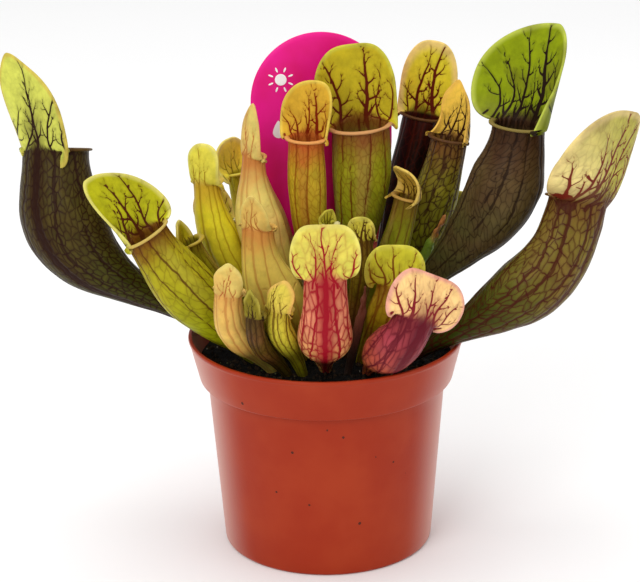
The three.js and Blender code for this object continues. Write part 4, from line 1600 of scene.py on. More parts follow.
@dataclass(frozen=True)
class Peat:
    """The peat that fills the pot, with loose crumbs and pale flecks on its crumbly top."""

    pot: NurseryPot
    height: float = SOIL
    mound: float = 1.2
    clearance: float = 0.3
    crumbs: int = 1300
    flecks: int = 46

    def edge(self) -> float:
        """The peat's radius at its top: the band's inside less the clearance."""
        pot = self.pot
        share = (self.height - pot.band_foot_height) / (pot.height - pot.band_foot_height)
        return float(mix(pot.band_foot, pot.rim, share)) - pot.wall - self.clearance

    def surface(self, x: Array, y: Array) -> Array:
        """Height of the top: a low mound, plus lumps of 5, 2 and 0.8 mm in noise.

        Args:
            x: places across, in millimetres.
            y: places back, in millimetres.

        Returns:
            A height for each place.
        """
        radius = np.hypot(x, y)
        rise = self.mound * (1 - 1.6 * ease((radius - 12) / 30))
        lumps = 0.55 * smooth_noise(x, y, 5.0, 11) + 0.35 * smooth_noise(x, y, 2.0, 12)
        return self.height + rise + lumps + 0.22 * smooth_noise(x, y, 0.8, 13) - 0.4

    def plug(self, finishes: Finishes) -> bpy.types.Object:
        """The body of peat: straight sides inside the pot and the crumbly top.

        Args:
            finishes: makes the materials.

        Returns:
            The piece.
        """
        pot = self.pot
        low = pot.floor + self.clearance
        step = pot.band_foot_height
        side = rounded_profile([
            (0, low, 0),
            (pot.inner(low) - self.clearance, low, 0.6),
            (pot.inner(step - 2) - self.clearance, step - 2, 0.5),
            (pot.band_foot - pot.wall - self.clearance - 0.2, step + 1.2, 0.5),
            (self.edge() - 0.3, self.height - 1.2, 0.3),
        ])
        radii = np.linspace(self.edge(), 0, 84)[1:]
        top = np.stack([radii, np.full(len(radii), self.height)], -1)
        grid = turned(np.concatenate([evened(side, 4.0), top]), 200)
        upper = slice(len(grid.points) - len(radii) + 1, None)
        x, y = grid.points[upper, :, 0], grid.points[upper, :, 1]
        grid.points[upper, :, 2] = self.surface(x, y)
        grid.poles[1][2] = float(self.surface(np.array(0.0), np.array(0.0)))
        return grid.to_object("peat", finishes.peat("damp peat", "050302", "140D08", 0.2))

    def scatter(self, name: str, count: int, sizes: Pair, seed: int, reach: Pair,
                material: bpy.types.Material) -> bpy.types.Object:
        """Loose bits on the top: jittered icosahedra, each turned, stretched and partly sunk.

        Args:
            name: the piece's name.
            count: how many bits there are.
            sizes: the smallest and largest half size.
            seed: the seed of the draw.
            reach: the nearest and farthest distance from the middle, as shares of the edge.
            material: the finish of all bits.

        Returns:
            One object that holds all the bits.
        """
        draw = np.random.default_rng(seed)
        golden = (1 + 5**0.5) / 2
        base = [(a, b * golden, 0) for a in (-1, 1) for b in (-1, 1)]
        corners = np.array([np.roll(c, i) for i in range(3) for c in base]) / math.hypot(1, golden)
        near = np.linalg.norm(corners[:, None] - corners[None], axis=2)
        linked = (near > 0) & (near < 1.1)
        faces = [
            (i, j, k)
            for i in range(12) for j in range(i) for k in range(j)
            if linked[i, j] and linked[j, k] and linked[i, k]
        ]
        triangles = np.array([
            f if np.dot(np.cross(corners[f[1]] - corners[f[0]], corners[f[2]] - corners[f[0]]),
                        corners[f[0]]) > 0 else f[::-1]
            for f in faces
        ])
        size = draw.uniform(*sizes, count)
        stretch = draw.uniform(0.55, 1.3, (count, 1, 3))
        jitter = draw.uniform(0.75, 1.2, (count, 12, 1))
        bits = corners[None] * stretch * jitter * size[:, None, None]
        spin, roll = draw.uniform(0, 2 * math.pi, (2, count))
        x, y, z = (bits[..., i] for i in range(3))
        x, z = rotated(x, z, roll[:, None])
        x, y = rotated(x, y, spin[:, None])
        radius = self.edge() * np.sqrt(draw.uniform(reach[0] ** 2, reach[1] ** 2, count))
        angle = draw.uniform(0, 2 * math.pi, count)
        middle_x, middle_y = radius * np.cos(angle), radius * np.sin(angle)
        middle_z = self.surface(middle_x, middle_y) + 0.25 * size
        points = np.stack([x + middle_x[:, None], y + middle_y[:, None], z + middle_z[:, None]], -1)
        index = (triangles[None] + 12 * np.arange(count)[:, None, None]).reshape(-1)
        starts = np.arange(count * len(triangles)) * 3
        return mesh_object(name, points.reshape(-1, 3), index, starts, material)

    def build(self, finishes: Finishes) -> list[bpy.types.Object]:
        """Makes the plug, the crumbs and the flecks of moss and grit.

        Args:
            finishes: makes the materials.

        Returns:
            The pieces.
        """
        plug = self.plug(finishes)
        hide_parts("soil")
        crumb = finishes.peat("peat crumbs", "17100B", "46331F", 0.2)
        moss = finishes.peat("moss flecks", "4A5230", "8E8E5E", 0.1)
        grit = finishes.peat("pale grit", "8E877A", "C9C2B4", 0.05)
        pieces = [
            plug,
            self.scatter("peat_crumbs", self.crumbs, (0.25, 0.95), 21, (0.0, 0.97), crumb),
            self.scatter("moss_flecks", self.flecks, (0.2, 0.55), 22, (0.55, 0.97), moss),
            self.scatter("pale_grit", self.flecks // 2, (0.2, 0.5), 23, (0.4, 0.97), grit),
        ]
        for piece in pieces:
            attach(piece, "root")
        return pieces


@dataclass(frozen=True)
class PlantLabel:
    """A round-headed plastic label on a blade, with a plain sun and water drop printed on it."""

    head: float = 23.0
    head_height: float = 142.5
    thickness: float = 0.8
    stake: float = 3.5
    stake_top: float = 86.0
    point: float = 44.0
    x: float = -0.5
    y: float = 20.0
    lean: float = math.radians(3.2)

    def outline(self) -> Array:
        """The label's outline: a half circle, two curved shoulders and a pointed blade.

        Returns:
            n x 2 points: across, and up from the peat's top.
        """
        head, stake, point = (h - SOIL for h in (self.head_height, self.stake_top, self.point))
        arc = np.linspace(0, math.pi, 60)
        crown = np.stack([self.head * np.cos(arc), head + self.head * np.sin(arc)], -1)
        t = np.linspace(0, 1, 30)[:, None]
        side, middle, end = (np.array(p) for p in (
            (-self.head, head - 12), (-self.head, head - 34), (-self.stake, stake)))
        shoulder = (1 - t) ** 2 * side + 2 * t * (1 - t) * middle + t**2 * end
        half = self.stake
        blade = np.array([[-half, (stake + point) / 2], [-half, point + 8], [-1.0, point + 1]])
        left = np.concatenate([shoulder, blade])
        right = left[::-1] * np.array([-1, 1])
        return np.concatenate([crown, left, [[0, point]], right])

    def plate(self, outline: Array, centre: Array, front: float, back: float,
              bevel: float) -> ClosedGrid:
        """A flat plate: rings shrunk about the centre, its rim rounded between front and back.

        Args:
            outline: n x 2 points, anticlockwise, each seen straight from the centre.
            centre: the point that the rings shrink to.
            front: distance of the front face from the label's middle plane, towards the viewer.
            back: the same for the back face.
            bevel: how far the rim is rounded.

        Returns:
            The plate, leaning as the label does.
        """
        shrink = [0.25, 0.5, 0.75, 0.92]
        reach = np.linalg.norm(outline - centre, axis=1, keepdims=True)
        rings = [(centre + (outline - centre) * s, back) for s in shrink]
        inset = centre + (outline - centre) * (1 - bevel / reach)
        rings += [(inset, back), (outline, back + bevel), (outline, front - bevel), (inset, front)]
        rings += [(centre + (outline - centre) * s, front) for s in shrink[::-1]]
        points = np.stack([np.column_stack([ring, np.full(len(ring), d)]) for ring, d in rings])
        pressed = np.concatenate([points[..., :2], points[:, :1, :2]], 1)
        ends = (np.append(centre, back), np.append(centre, front))
        return ClosedGrid(self.placed(points), tuple(self.placed(e) for e in ends), pressed)

    def placed(self, points: Array) -> Array:
        """Across, up and towards the viewer turned upright, leaned back and set in the peat.

        Args:
            points: places on the upright label, in its last axis.

        Returns:
            The same places in the plant's frame.
        """
        across, up, ahead = points[..., 0], points[..., 1], points[..., 2]
        deep = up * math.sin(self.lean) - ahead * math.cos(self.lean)
        high = up * math.cos(self.lean) + ahead * math.sin(self.lean)
        return np.stack([across + self.x, deep + self.y, high + SOIL], -1)

    def print_shapes(self) -> dict[str, tuple[Array, Array]]:
        """Outlines and centres of the printed sun, its rays and the drop.

        Returns:
            An outline and its centre for each piece's name.
        """
        head = self.head_height - SOIL
        arc = np.linspace(0, 2 * math.pi, 41)[:-1]
        ring = np.stack([np.cos(arc), np.sin(arc)], -1)
        sun = np.array([-13.0, head + 7.5])
        shapes = {"label_sun": (sun + 1.9 * ring, sun)}
        for i in range(8):
            turn = 2 * math.pi * (i + 0.5) / 8
            way = np.array([math.cos(turn), math.sin(turn)])
            beside = np.array([-way[1], way[0]])
            middle = sun + 3.5 * way
            ray = middle + 0.85 * ring[:, :1] * way + 0.3 * ring[:, 1:] * beside
            shapes[f"label_ray_{i + 1}"] = (ray, middle)
        drop = np.array([-14.0, head - 10.0])
        taper = np.where(ring[:, 1] > 0, (1 - np.abs(ring[:, 1])) ** 0.35, 1.0)
        tall = np.where(ring[:, 1] > 0, 2.1, 1.0)
        shapes["label_drop"] = (drop + 1.9 * ring * np.stack([taper, tall], -1), drop)
        return shapes

    def build(self, finishes: Finishes) -> list[bpy.types.Object]:
        """Makes the plate and its print.

        Args:
            finishes: makes the materials.

        Returns:
            The pieces.
        """
        pink = finishes.plastic("magenta plastic", "E8148C", "DC1070", 0.36, 0.0)
        white = finishes.plastic("white print", "F2EEF0", "FFFFFF", 0.4, 0.0)
        half = self.thickness / 2
        centre = np.array([0.0, self.head_height - SOIL])
        plate = self.plate(self.outline(), centre, half, -half, 0.2)
        piece = plate.to_object("label_plate", pink)
        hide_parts("label")
        pieces = [piece]
        for name, (outline, middle) in self.print_shapes().items():
            shape = self.plate(outline, middle, half + 0.08, half - 0.1, 0.03)
            pieces.append(shape.to_object(name, white))
        for piece in pieces:
            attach(piece, "root")
        return pieces


@dataclass(frozen=True)
class Studio:
    """A pale floor, soft lights and the camera at the photograph's place."""

    target: Triple = (-1.7, 0.0, 85.5)
    distance: float = 750.0
    elevation: float = math.radians(19.8)
    roll: float = math.radians(0.8)
    focal_pixels: float = 2310.0
    image_width: float = 640.0

    def camera(self) -> None:
        """Aims the camera along (0, cos e, -sin e) at the target and rolls it about that line."""
        forward = np.array([0, math.cos(self.elevation), -math.sin(self.elevation)])
        level = np.array([1.0, 0, 0])
        upright = np.cross(level, forward)
        right = math.cos(self.roll) * level - math.sin(self.roll) * upright
        up = math.sin(self.roll) * level + math.cos(self.roll) * upright
        place = (np.array(self.target) - forward * self.distance) * MM
        data = bpy.data.cameras.new("camera")
        data.sensor_width = 36.0
        data.lens = self.focal_pixels / self.image_width * data.sensor_width
        data.clip_start, data.clip_end = 0.05, 20.0
        camera = bpy.data.objects.new("camera", data)
        bpy.context.scene.collection.objects.link(camera)
        axes = Matrix(np.stack([right, up, -forward], -1).tolist()).to_4x4()
        camera.matrix_world = Matrix.Translation(Vector(place)) @ axes
        bpy.context.scene.camera = camera

    def light(self, name: str, place: Triple, size: float, watts: float) -> None:
        """A square soft light at a place in metres, turned towards the plant.

        Args:
            name: the light's name.
            place: where it hangs, in metres.
            size: the length of its side, in metres.
            watts: its power.
        """
        data = bpy.data.lights.new(name, "AREA")
        data.size = size
        data.energy = watts
        lamp = bpy.data.objects.new(name, data)
        bpy.context.scene.collection.objects.link(lamp)
        aim = Vector((0, 0, 0.09)) - Vector(place)
        turn = aim.to_track_quat("-Z", "Y").to_matrix().to_4x4()
        lamp.matrix_world = Matrix.Translation(place) @ turn

    def floor(self, finishes: Finishes) -> None:
        """A wide flat floor just under the pot.

        Args:
            finishes: makes the materials.
        """
        half, depth = 3000.0, -0.05
        turns = ((-1, -1), (1, -1), (1, 1), (-1, 1))
        corners = np.array([[x * half, y * half, depth] for x, y in turns])
        piece = mesh_object("floor", corners, np.arange(4), np.array([0]), finishes.floor())

    def build(self, finishes: Finishes) -> None:
        """Sets the camera, the floor, the sky and three lights.

        Args:
            finishes: makes the materials.
        """
        self.camera()
        self.floor(finishes)
        world = bpy.data.worlds.new("sky")
        world.use_nodes = True
        sky = world.node_tree.nodes["Background"].inputs
        sky["Color"].default_value = (1, 1, 1, 1)
        sky["Strength"].default_value = 0.72
        bpy.context.scene.world = world
        bpy.context.scene.view_settings.view_transform = "Standard"
        self.light("key", (-0.6, -1.1, 0.9), 0.7, 7.0)
        self.light("fill", (1.0, -0.8, 0.5), 0.9, 1.5)
        self.light("top", (0.0, 0.1, 1.3), 0.9, 6.0)


def plant_leaves() -> list[Pitcher]:
    """Every pitcher of the clump, each with its own shape, colours and veins.

    Returns:
        The pitchers, from the left of the picture to the back.
    """
    return [
        Pitcher(
            "pitcher_far_left", "leaf_dark",
            LeafShape((-14, 3), (-68, 3, 96), (-87, -4, 89), (-86, 8, 131.5), 60, 14.6, 11.2,
                      fullest=0.8, height=29, width=(9, 12.5), wrap=(1.3, 0.3), lean=(-8, -22),
                      droop=5.5, peak=3, widest=0.36, lobe=0.4, taper=(0.8, 0.5), rounding=1.0,
                      skew=-5.5, flare=30, span=60),
            LeafSkin("3E420E", "4A4018", "CCCE58", "260F08", margin="CCB850", flush="3A1A10",
                     stain="2E1408", flush_amount=0.2, stain_amount=0.1, net_tube=1.0,
                     net_hood=0.08, margin_width=1.5, cell=1.7, inside="3A2A18", lip="5A4020",
                     soft=0.05, spine=0.7, net_width=1.5),
            Venation(trunks((0.0, 0.05, 0.95, 0.6), (0.5, 0.5, 0.7, 0.45),
                            (-0.5, -0.45, 0.75, 0.45), (1.1, 0.9, 0.45, 0.35),
                            (-1.1, -0.9, 0.5, 0.35)), ribs=12, rib_width=0.36, spine=1.2, seed=101),
            Detail.WIDE,
        ),
        Pitcher(
            "pitcher_left_green", "leaf_green",
            LeafShape((-15, -6), (-30, -10, 74), (-46, -15, 92), (-56, -15, 110), -55, 9.6, 7.2,
                      fullest=0.66, height=24, width=(14.5, 5.5), wrap=(1, 1.6), droop=0,
                      widest=0.35, skew=6, peak=1.5),
            LeafSkin("8E9C00", "A89E1C", "B4B218", "4E2008", margin="D8D06A", flush="9A7A20",
                     stain="6A2A0C", lip="C8AE5C", wing="CCC488", flush_amount=0.08,
                     stain_amount=0.85, wing_amount=0.05, net_hood=0.08, margin_width=1.4,
                     cell=2.4, inside="6A5A1A"),
            Venation(trunks((-0.2, 0.35, 0.85, 0.75), (-0.7, -0.25, 0.85, 0.5),
                            (0.6, 0.75, 0.75, 0.45), (-1.2, -0.95, 0.4, 0.35),
                            (1.2, 0.95, 0.5, 0.35)), seed=102),
            Detail.LARGE,
        ),
        Pitcher(
            "pitcher_left_small", "leaf_green",
            LeafShape((-19, -1), (-26, 0, 78), (-39, 2, 88), (-43, 1.5, 102), -10, 4.4, 3.9,
                      fullest=0.7, height=8, width=(6, 6), droop=2),
            LeafSkin("8A8A10", "8A8410", "AA9E14", "5A4008", margin="D8CA64", stain="7A5A14",
                     stain_amount=0.2, net_hood=0.1, cell=1.6, lip="B8A040"),
            Venation(FAINT, rib_width=0.18, seed=103),
        ),
        Pitcher(
            "pitcher_mid_left", "leaf_green",
            LeafShape((-11, 7), (-22, 10, 80), (-37, 12, 94), (-38, 12, 119), 55, 7.4, 4.6,
                      fullest=0.7, height=14, width=(6.5, 6.5), wrap=(1.7, 1.7), lean=(0, 15),
                      lip=0.5, lobe=0.9, skew=1.5),
            LeafSkin("847A06", "E4D62E", "E0D64C", "9C7A10", margin="E0D870", flush="C09030",
                     stain="B8702C", flush_amount=0.12, net_tube=0.1, net_hood=0.04, vein_tube=0.6,
                     lip="D8C050"),
            Venation(FAINT, rib_width=0.2, seed=104),
        ),
        Pitcher(
            "pitcher_back_left", "leaf_green",
            LeafShape((-9, 19), (-17, 25, 84), (-25, 31, 98), (-28, 32, 116), -40, 5.4, 4.5,
                      fullest=0.75, height=12, width=(8, 8), droop=2),
            LeafSkin("8A8A1C", "B8AC24", "E2D240", "7A6A10", margin="E4DA70", stain="A08A20",
                     stain_amount=0.0, net_hood=0.1, lip="D8C850", vein_tube=0.4),
            Venation(FAINT, rib_width=0.2, seed=105),
        ),
        Pitcher(
            "pitcher_tall_peach", "leaf_peach",
            LeafShape((-6, 1), (-9, 4, 84), (-25, 7, 100), (-22.4, 7, 129), 42, 8.6, 3.9,
                      fullest=0.7, height=16, width=(4.6, 4.8), wrap=(1.8, 1.8), lean=(0, 6),
                      droop=1, peak=2, rounding=1.0, lip=0.2, lobe=0.75, wing=4, widest=0.2,
                      ruffle=0.1),
            LeafSkin("BCA838", "E6D070", "D8C46A", "B8743A", margin="DCBC68", flush="E09A60",
                     stain="C05A26", flush_amount=0.3, stain_amount=0.75, wing="E0B060",
                     wing_amount=0.6, crease=0.95, net_tube=0.05, net_hood=0.03, vein_tube=0.45,
                     margin_width=2.0, lip="D8A85C"),
            Venation(FAINT, rib_width=0.22, spine=0.5, ties=0.4, orders=1, seed=106),
        ),
        Pitcher(
            "pitcher_front_yellow", "leaf_peach",
            LeafShape((-4, -6), (-5, -10, 78), (-22, -16, 90), (-21, -15, 112), 68, 8.8, 5.2,
                      fullest=0.6, height=11, width=(5, 5), wrap=(2, 2), lean=(-5, -10), droop=0.5,
                      peak=1, rounding=1.0, lip=0.4, lobe=0.8, wing=3, widest=0.2, ruffle=0.2),
            LeafSkin("767A00", "D4BC54", "D8B45C", "A8662A", margin="D8C068", flush="D48850",
                     stain="C0502E", flush_amount=0.1, stain_amount=0.6, net_tube=0.05,
                     net_hood=0.03, vein_tube=0.5, crease=0.8, lip="D8B058", wing="C89048"),
            Venation(FAINT, rib_width=0.22, ties=0.3, orders=1, seed=107),
            Detail.LARGE,
        ),
        Pitcher(
            "pitcher_centre_left", "leaf_peach",
            LeafShape((-2, 7), (-3, 9, 88), (-6, 6, 110), (-5.5, 5, 135), -105, 6.2, 5.8,
                      fullest=0.8, height=19, width=(7, 10), wrap=(1.7, 1), lean=(0, 8), droop=0.5,
                      skew=-2.2),
            LeafSkin("7E8408", "C4A82A", "D6A832", "7A1E02", margin="DEC04E", flush="B86830",
                     stain="B84E24", lip="DA9A58", wing="B05A30", flush_amount=0.1,
                     stain_amount=0.85, wing_amount=0.4, net_tube=0.3, net_hood=0.05,
                     margin_width=1.2, vein_tube=0.6, cell=1.6, net_width=1.2),
            Venation(trunks((-0.55, -0.36, 0.85, 0.62), (0.1, 0.12, 0.75, 0.5),
                            (0.55, 0.6, 0.5, 0.34), (1.0, 0.9, 0.4, 0.3), (-1.2, -0.8, 0.5, 0.25)),
                     seed=108),
            Detail.LARGE,
        ),
        Pitcher(
            "pitcher_centre_big", "leaf_green",
            LeafShape((4, 8), (8, 10, 90), (14, 13, 110), (12, 12, 137), -86, 9.5, 9.3,
                      fullest=0.85, height=27, width=(13, 13.5), lean=(0, 8), droop=2, peak=-0.8),
            LeafSkin("607408", "96961A", "C4B022", "5E1A06", margin="C8C040", flush="96702A",
                     stain="7A341C", lip="C8925E", wing="A87048", flush_amount=0.1,
                     stain_amount=0.8, wing_amount=0.4, net_tube=0.4, net_hood=0.06,
                     margin_width=1.4, cell=1.6, net_width=1.3),
            Venation(trunks((-0.25, -0.2, 0.92, 0.85), (0.75, 0.6, 0.85, 0.6),
                            (-0.95, -0.72, 0.65, 0.34), (-1.35, -0.95, 0.45, 0.3),
                            (1.25, 0.95, 0.55, 0.35)), seed=109),
            Detail.LARGE,
        ),
        Pitcher(
            "pitcher_centre_back", "leaf_dark",
            LeafShape((13, 19), (18, 25, 84), (28, 32, 104), (33, 33, 134), -100, 7.2, 6.6,
                      fullest=0.8, height=26, width=(9.5, 9.5), lean=(0, 8), droop=1, peak=-0.5,
                      rounding=0.9, skew=0.5),
            # Painted shade: the tube's own dark colour is pushed to near black, standing in for the
            # shade at the back of the clump
            LeafSkin("140C06", "150A06", "E0D032", "5E1A06", margin="E8CA78", flush="C08038",
                     stain="3A1008", lip="4A2418", wing="2A1008", flush_amount=0.0,
                     stain_amount=0.6, net_tube=0.2, net_hood=0.06, vein_tube=0.25,
                     margin_width=4.2),
            Venation(trunks((0.45, 0.3, 0.85, 0.62), (-0.55, -0.45, 0.98, 0.8),
                            (0.0, 0.0, 0.6, 0.3), (1.1, 0.7, 0.4, 0.32)), seed=110),
            Detail.LARGE,
        ),
        Pitcher(
            "pitcher_back_right", "leaf_dark",
            LeafShape((11, 9), (20, 14, 82), (36, 19, 98), (41, 20, 130), -130, 8.2, 6.2,
                      fullest=0.7, height=16.5, width=(6, 6.4), wrap=(1.6, 1.6), lean=(-4, -8),
                      droop=0, peak=2, rounding=1.1, skew=4.5),
            LeafSkin("4E5A08", "86801C", "ECC048", "341608", margin="E8B850", flush="7A4A24",
                     stain="6E3824", lip="4A2C18", wing="4A2A18", stain_amount=0.75, net_tube=0.85,
                     net_hood=0.1, margin_width=2.2, cell=1.9, net_width=1.4),
            Venation(ribs=13, rib_width=0.32, seed=111),
            Detail.LARGE,
        ),
        Pitcher(
            "pitcher_large_right", "leaf_dark",
            LeafShape((15, 3), (33, 1, 103), (59, 0, 99), (62, 1, 139.5), -130, 12.2, 8.8,
                      fullest=0.82, height=33, width=(9, 24.5), wrap=(2.4, 1), lean=(-8, -22),
                      droop=1, peak=-0.5, rounding=1.35, widest=0.34, skew=-1.5),
            LeafSkin("3E4A1C", "584628", "84920A", "1E0E04", margin="B0BA48", flush="4E2C1E",
                     stain="3A2014", lip="84723A", wing="3A2014", flush_amount=0.35,
                     stain_amount=0.8, net_tube=0.6, net_hood=0.03, margin_width=1.8),
            Venation(trunks((0.75, 0.4, 0.8, 0.75), (-0.1, -0.1, 0.98, 0.85),
                            (1.3, 0.62, 0.62, 0.5), (1.6, 0.85, 0.5, 0.36),
                            (0.35, 0.16, 0.55, 0.45), (-0.9, -0.6, 0.6, 0.4)), ribs=12,
                     rib_width=0.36, seed=112),
            Detail.WIDE,
        ),
        Pitcher(
            "pitcher_far_right", "leaf_dark",
            LeafShape((15, -7), (58, -20, 91.5), (73, -18, 87), (80, -10, 117.5), 142, 12.0, 10.5,
                      fullest=0.57, height=31, width=(27, 11), wrap=(1.6, 1.2), lean=(-8, -18),
                      droop=1, peak=1, widest=0.36, lobe=0.9, skew=-5.5, rounding=0.65),
            LeafSkin("34400C", "7A6A28", "E8D488", "42160C", margin="E4CC84", flush="5E2C24",
                     stain="5A1012", flush_amount=0.3, stain_amount=0.45, net_tube=1.0,
                     net_hood=0.2, margin_width=2.6, cell=2.2, lip="6A4A24", far_hood="B4AC48",
                     soft=0.35, hood_vein="6E2214", net_width=1.15),
            Venation(trunks((-1.3, -1.0, 0.12, 2.0), (-1.1, -0.35, 1.0, 0.95),
                            (-1.3, -0.75, 0.72, 0.62), (-1.45, -0.95, 0.5, 0.4),
                            (-0.7, 0.1, 1.0, 0.8), (0.1, 0.4, 0.85, 0.5), (0.8, 0.8, 0.6, 0.4)),
                     ribs=12, rib_width=0.5, spine=0.85, seed=113),
            Detail.WIDE,
        ),
        Pitcher(
            "pitcher_small_open", "leaf_green",
            LeafShape((10, -1), (13, -2, 80), (22, 0, 92), (26.5, 1, 116), -150, 5.2, 4.4,
                      fullest=0.7, height=15, width=(7, 7), wrap=(2.2, 2.2), lean=(5, 75), droop=1,
                      lip=0.5, rounding=0.9),
            LeafSkin("6A7A08", "7A7A14", "DCB840", "5A3A0C", margin="DCBC5C", stain="6A3A14",
                     lip="B88E48", net_tube=0.25, margin_width=2.6, inside="4A4210"),
            Venation(rib_width=0.2, seed=114),
        ),
        Pitcher(
            "pitcher_small_mid", "leaf_green",
            LeafShape((5, -5), (8, -8, 80), (13, -12, 92), (12, -12, 107), 80, 3.6, 3.2,
                      fullest=0.75, height=8, width=(4.5, 4.5), droop=1),
            LeafSkin("4A3410", "7A6A14", "CCC23C", "4E300A", margin="C8BE50", stain="5A3410",
                     stain_amount=0.4, net_tube=0.6, net_hood=0.3, cell=1.5),
            Venation(rib_width=0.2, seed=115),
        ),
        Pitcher(
            "pitcher_tiny_green", "leaf_green",
            LeafShape((1, 0), (1, -3, 78), (1, -6, 92), (1.5, -7, 110), -60, 2.8, 2.3,
                      fullest=0.75, height=5, width=(3, 3), droop=0.5),
            LeafSkin("98921C", "A89E24", "CCC034", "6E6010", margin="C0B440", stain="7A7014",
                     stain_amount=0.2, net_tube=0.1, cell=1.4),
            Venation(rib_width=0.14, seed=116),
        ),
        Pitcher(
            "pitcher_front_centre", "leaf_red",
            LeafShape((0, -12), (-1, -24, 82), (0, -46, 81), (0, -46, 106), 90, 8.5, 6.6,
                      fullest=0.55, height=19, width=(10.8, 10.8), wrap=(1, 1), lean=(0, 25),
                      droop=-0.5, peak=-0.8, rounding=0.62, taper=(1.0, 1.0), lobe=1.12),
            LeafSkin("ECC868", "DE8C66", "D8D254", "941020", margin="DCD468", flush="D07060",
                     stain="A0202A", stain_amount=0.35, net_tube=1.0, net_hood=0.25, cell=2.4,
                     vein_tube=1.0, net_width=1.7, soft=0.25, spine=0.9),
            Venation(trunks((0.0, 0.0, 0.9, 0.6), (0.6, 0.4, 0.75, 0.38),
                            (-0.65, -0.45, 0.75, 0.38), (1.2, 0.85, 0.5, 0.35),
                            (-1.25, -0.85, 0.5, 0.35)), rib_width=0.34, spine=0.75, ties=0.2,
                     seed=117),
            Detail.LARGE,
        ),
        Pitcher(
            "pitcher_right_yellow", "leaf_green",
            LeafShape((9, -8), (14, -14, 78), (20, -23, 84), (21, -23, 96), 100, 5.5, 5,
                      fullest=0.7, height=14, width=(9.6, 9.6), lean=(5, 25), droop=1, peak=-0.6),
            LeafSkin("8E8810", "B09A1C", "C8C02E", "7E4A10", margin="D0C848", stain="9A6020",
                     net_tube=0.4, net_hood=0.12),
            Venation(rib_width=0.25, seed=118),
        ),
        Pitcher(
            "pitcher_red_right", "leaf_red",
            LeafShape((11, -14), (17, -26, 80), (20.5, -46, 77), (27, -43, 91), 115, 8.2, 6.8,
                      fullest=0.55, height=17, width=(14, 13.5), lean=(5, 30), droop=1, peak=-0.8,
                      rounding=0.6, widest=0.5),
            LeafSkin("D87A3C", "A03E48", "FACE88", "5E1420", margin="E8A890", flush="C8582C",
                     stain="521424", flush_amount=0.3, stain_amount=0.6, net_tube=0.8,
                     hood_vein="7E1E26", net_width=1.6, cell=2.2, soft=0.25, spine=0.75),
            Venation(trunks((0.0, 0.0, 0.98, 0.75), (0.6, 0.5, 0.85, 0.6), (-0.6, -0.5, 0.85, 0.6),
                            (1.1, 0.85, 0.6, 0.4), (-1.1, -0.85, 0.6, 0.4)), rib_width=0.4,
                     spine=1.2, seed=119),
            Detail.LARGE,
        ),
        Pitcher(
            "pitcher_peach_left", "leaf_peach",
            LeafShape((-14, -12), (-22, -20, 78), (-32, -31, 78), (-30, -33, 97), 80, 5.5, 4.4,
                      fullest=0.6, height=11, width=(4.8, 4.8), wrap=(2, 2), lean=(-4, -4),
                      droop=0.3, peak=1, rounding=1, lip=0.4, lobe=0.4),
            LeafSkin("C4B450", "DCB45C", "D8BC64", "A8602C", margin="DCC870", flush="CC7A3C",
                     stain="C06838", flush_amount=0.3, stain_amount=0.3, net_tube=0.06,
                     net_hood=0.04, vein_tube=0.5, lip="D4B060"),
            Venation(FAINT, rib_width=0.2, ties=0.4, orders=1, seed=120),
        ),
        Pitcher(
            "pitcher_narrow_dark", "leaf_dark",
            LeafShape((-10, -14), (-15, -25, 76), (-22.5, -37, 75), (-22, -38, 91), 60, 3.4, 2.9,
                      fullest=0.7, height=8, width=(3.1, 3.1), wrap=(2, 2), lean=(0, -5),
                      droop=0.5, peak=2, rounding=1, lip=0.4, lobe=0.4),
            LeafSkin("5E5014", "5A4418", "84761E", "342008", margin="A89A3C", stain="3E2814",
                     stain_amount=0.4, net_tube=0.5, cell=1.5, lip="7A6A20"),
            Venation(FAINT, rib_width=0.22, orders=1, seed=121),
        ),
        Pitcher(
            "pitcher_small_hooked", "leaf_peach",
            LeafShape((-6, -15), (-10, -26, 80), (-15.8, -34, 79), (-14.4, -35, 92), 60, 4.4, 3.7,
                      fullest=0.65, height=10, width=(5, 5), wrap=(2, 1.6), lean=(0, 15), peak=1,
                      rounding=0.9, lip=0.4, lobe=0.6, skew=2),
            LeafSkin("9A9A14", "D8C83E", "E0CC50", "5E3E0C", margin="E6BE60", stain="8A5A20",
                     stain_amount=0.3, net_tube=0.3, net_hood=0.2, cell=1.6, lip="C8A850"),
            Venation(FAINT, rib_width=0.22, orders=1, seed=122),
        ),
        Pitcher(
            "pitcher_rear_left", "leaf_dark",
            LeafShape((-15, 13), (-22, 24, 80), (-33, 40, 79), (-35, 43, 95), -50, 6.5, 5.4,
                      fullest=0.62, height=13, width=(8, 8), lean=(-5, 5), droop=1, rounding=0.7),
            LeafSkin("545A14", "7A5420", "B2A230", "4E2014", margin="CCB45A", stain="52281A",
                     flush_amount=0.3, net_tube=0.8),
            Venation(rib_width=0.28, spine=0.7, seed=123),
        ),
        Pitcher(
            "pitcher_rear_middle", "leaf_green",
            LeafShape((-4, 24), (-6, 33, 81), (-9, 45, 82), (-11, 47, 100), -75, 6.8, 5.8,
                      fullest=0.6, height=14, width=(9, 9), lean=(-5, 10), droop=1, rounding=0.7),
            LeafSkin("868C14", "989424", "ACA828", "68281A", margin="C6C45A", stain="8A4A26",
                     net_tube=0.45),
            Venation(spine=0.6, seed=124),
        ),
        Pitcher(
            "pitcher_rear_right", "leaf_red",
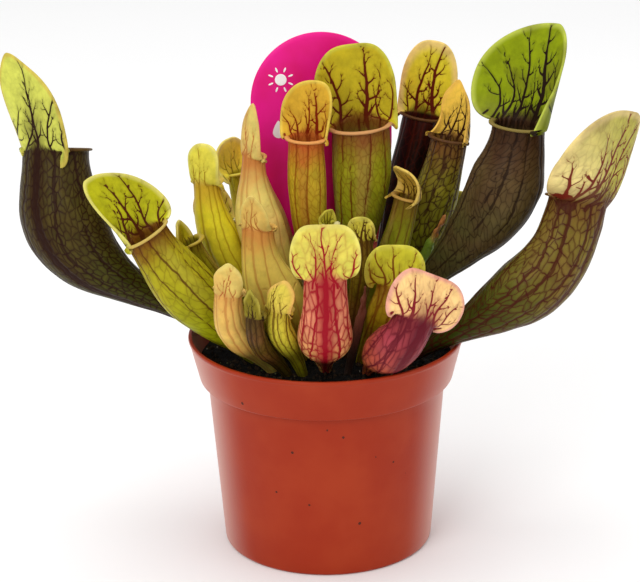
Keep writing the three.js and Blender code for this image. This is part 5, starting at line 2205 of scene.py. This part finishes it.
            LeafShape((6, 26), (9, 35, 81), (15, 47, 81), (18, 49, 97), -110, 6.4, 5.6,
                      fullest=0.6, height=13, width=(8.5, 8.5), lean=(-5, 10), droop=1,
                      rounding=0.7),
            LeafSkin("A07C2C", "8E3630", "CAB850", "84202A", margin="D6C468", stain="862C30",
                     flush_amount=0.4, net_tube=0.85),
            Venation(rib_width=0.32, spine=0.9, seed=125),
        ),
        Pitcher(
            "pitcher_rear_outer", "leaf_green",
            LeafShape((20, 10), (28, 20, 80), (39, 34, 79), (41, 37, 95), -135, 6, 5.2,
                      fullest=0.62, height=12, width=(8, 8), lean=(-5, 5), droop=1, rounding=0.7),
            LeafSkin("768414", "887424", "9CA028", "582A1C", margin="BEB850", stain="683A22",
                     net_tube=0.6),
            Venation(spine=0.6, seed=126),
        ),
    ]


def plant_buds() -> list[Bud]:
    """The young leaf with a dried tip and the leaf that has died back to a stub.

    Returns:
        The two buds.
    """
    spindle = {"neck": 0.5, "stalk": 1.2, "wing": 0, "fullest": 0.6}
    return [
        Bud(
            "leaf_dried_tip", "leaf_green",
            LeafShape((22, 7), (25, 8, 80), (32, 8, 94), (39.5, 8, 108.5), -60, 1.9, **spindle),
            "7E9A1E", "B4702C", (0.84, 0.92), 0.6,
        ),
        Bud(
            "leaf_dying_stub", "leaf_dry",
            LeafShape((5.5, -18), (8, -20, 74), (12, -21, 84), (12.5, -22, 95), 90, 1.5, **spindle),
            "3A2418", "8A4A34", (0.3, 0.8), 0.5,
        ),
    ]


def main() -> None:
    """Builds the pot, peat, label, leaves and studio in order."""
    logging.basicConfig(level=logging.INFO, format="%(message)s")
    finishes = Finishes()
    pot = NurseryPot()
    log.info("pot: %s", pot.build(finishes).name)
    for piece in Peat(pot).build(finishes) + PlantLabel().build(finishes):
        log.info("piece: %s", piece.name)
    for leaf in plant_leaves() + plant_buds():
        log.info("leaf: %s", leaf.build(finishes).name)
    Studio().build(finishes)


if __name__ == "__main__":
    main()
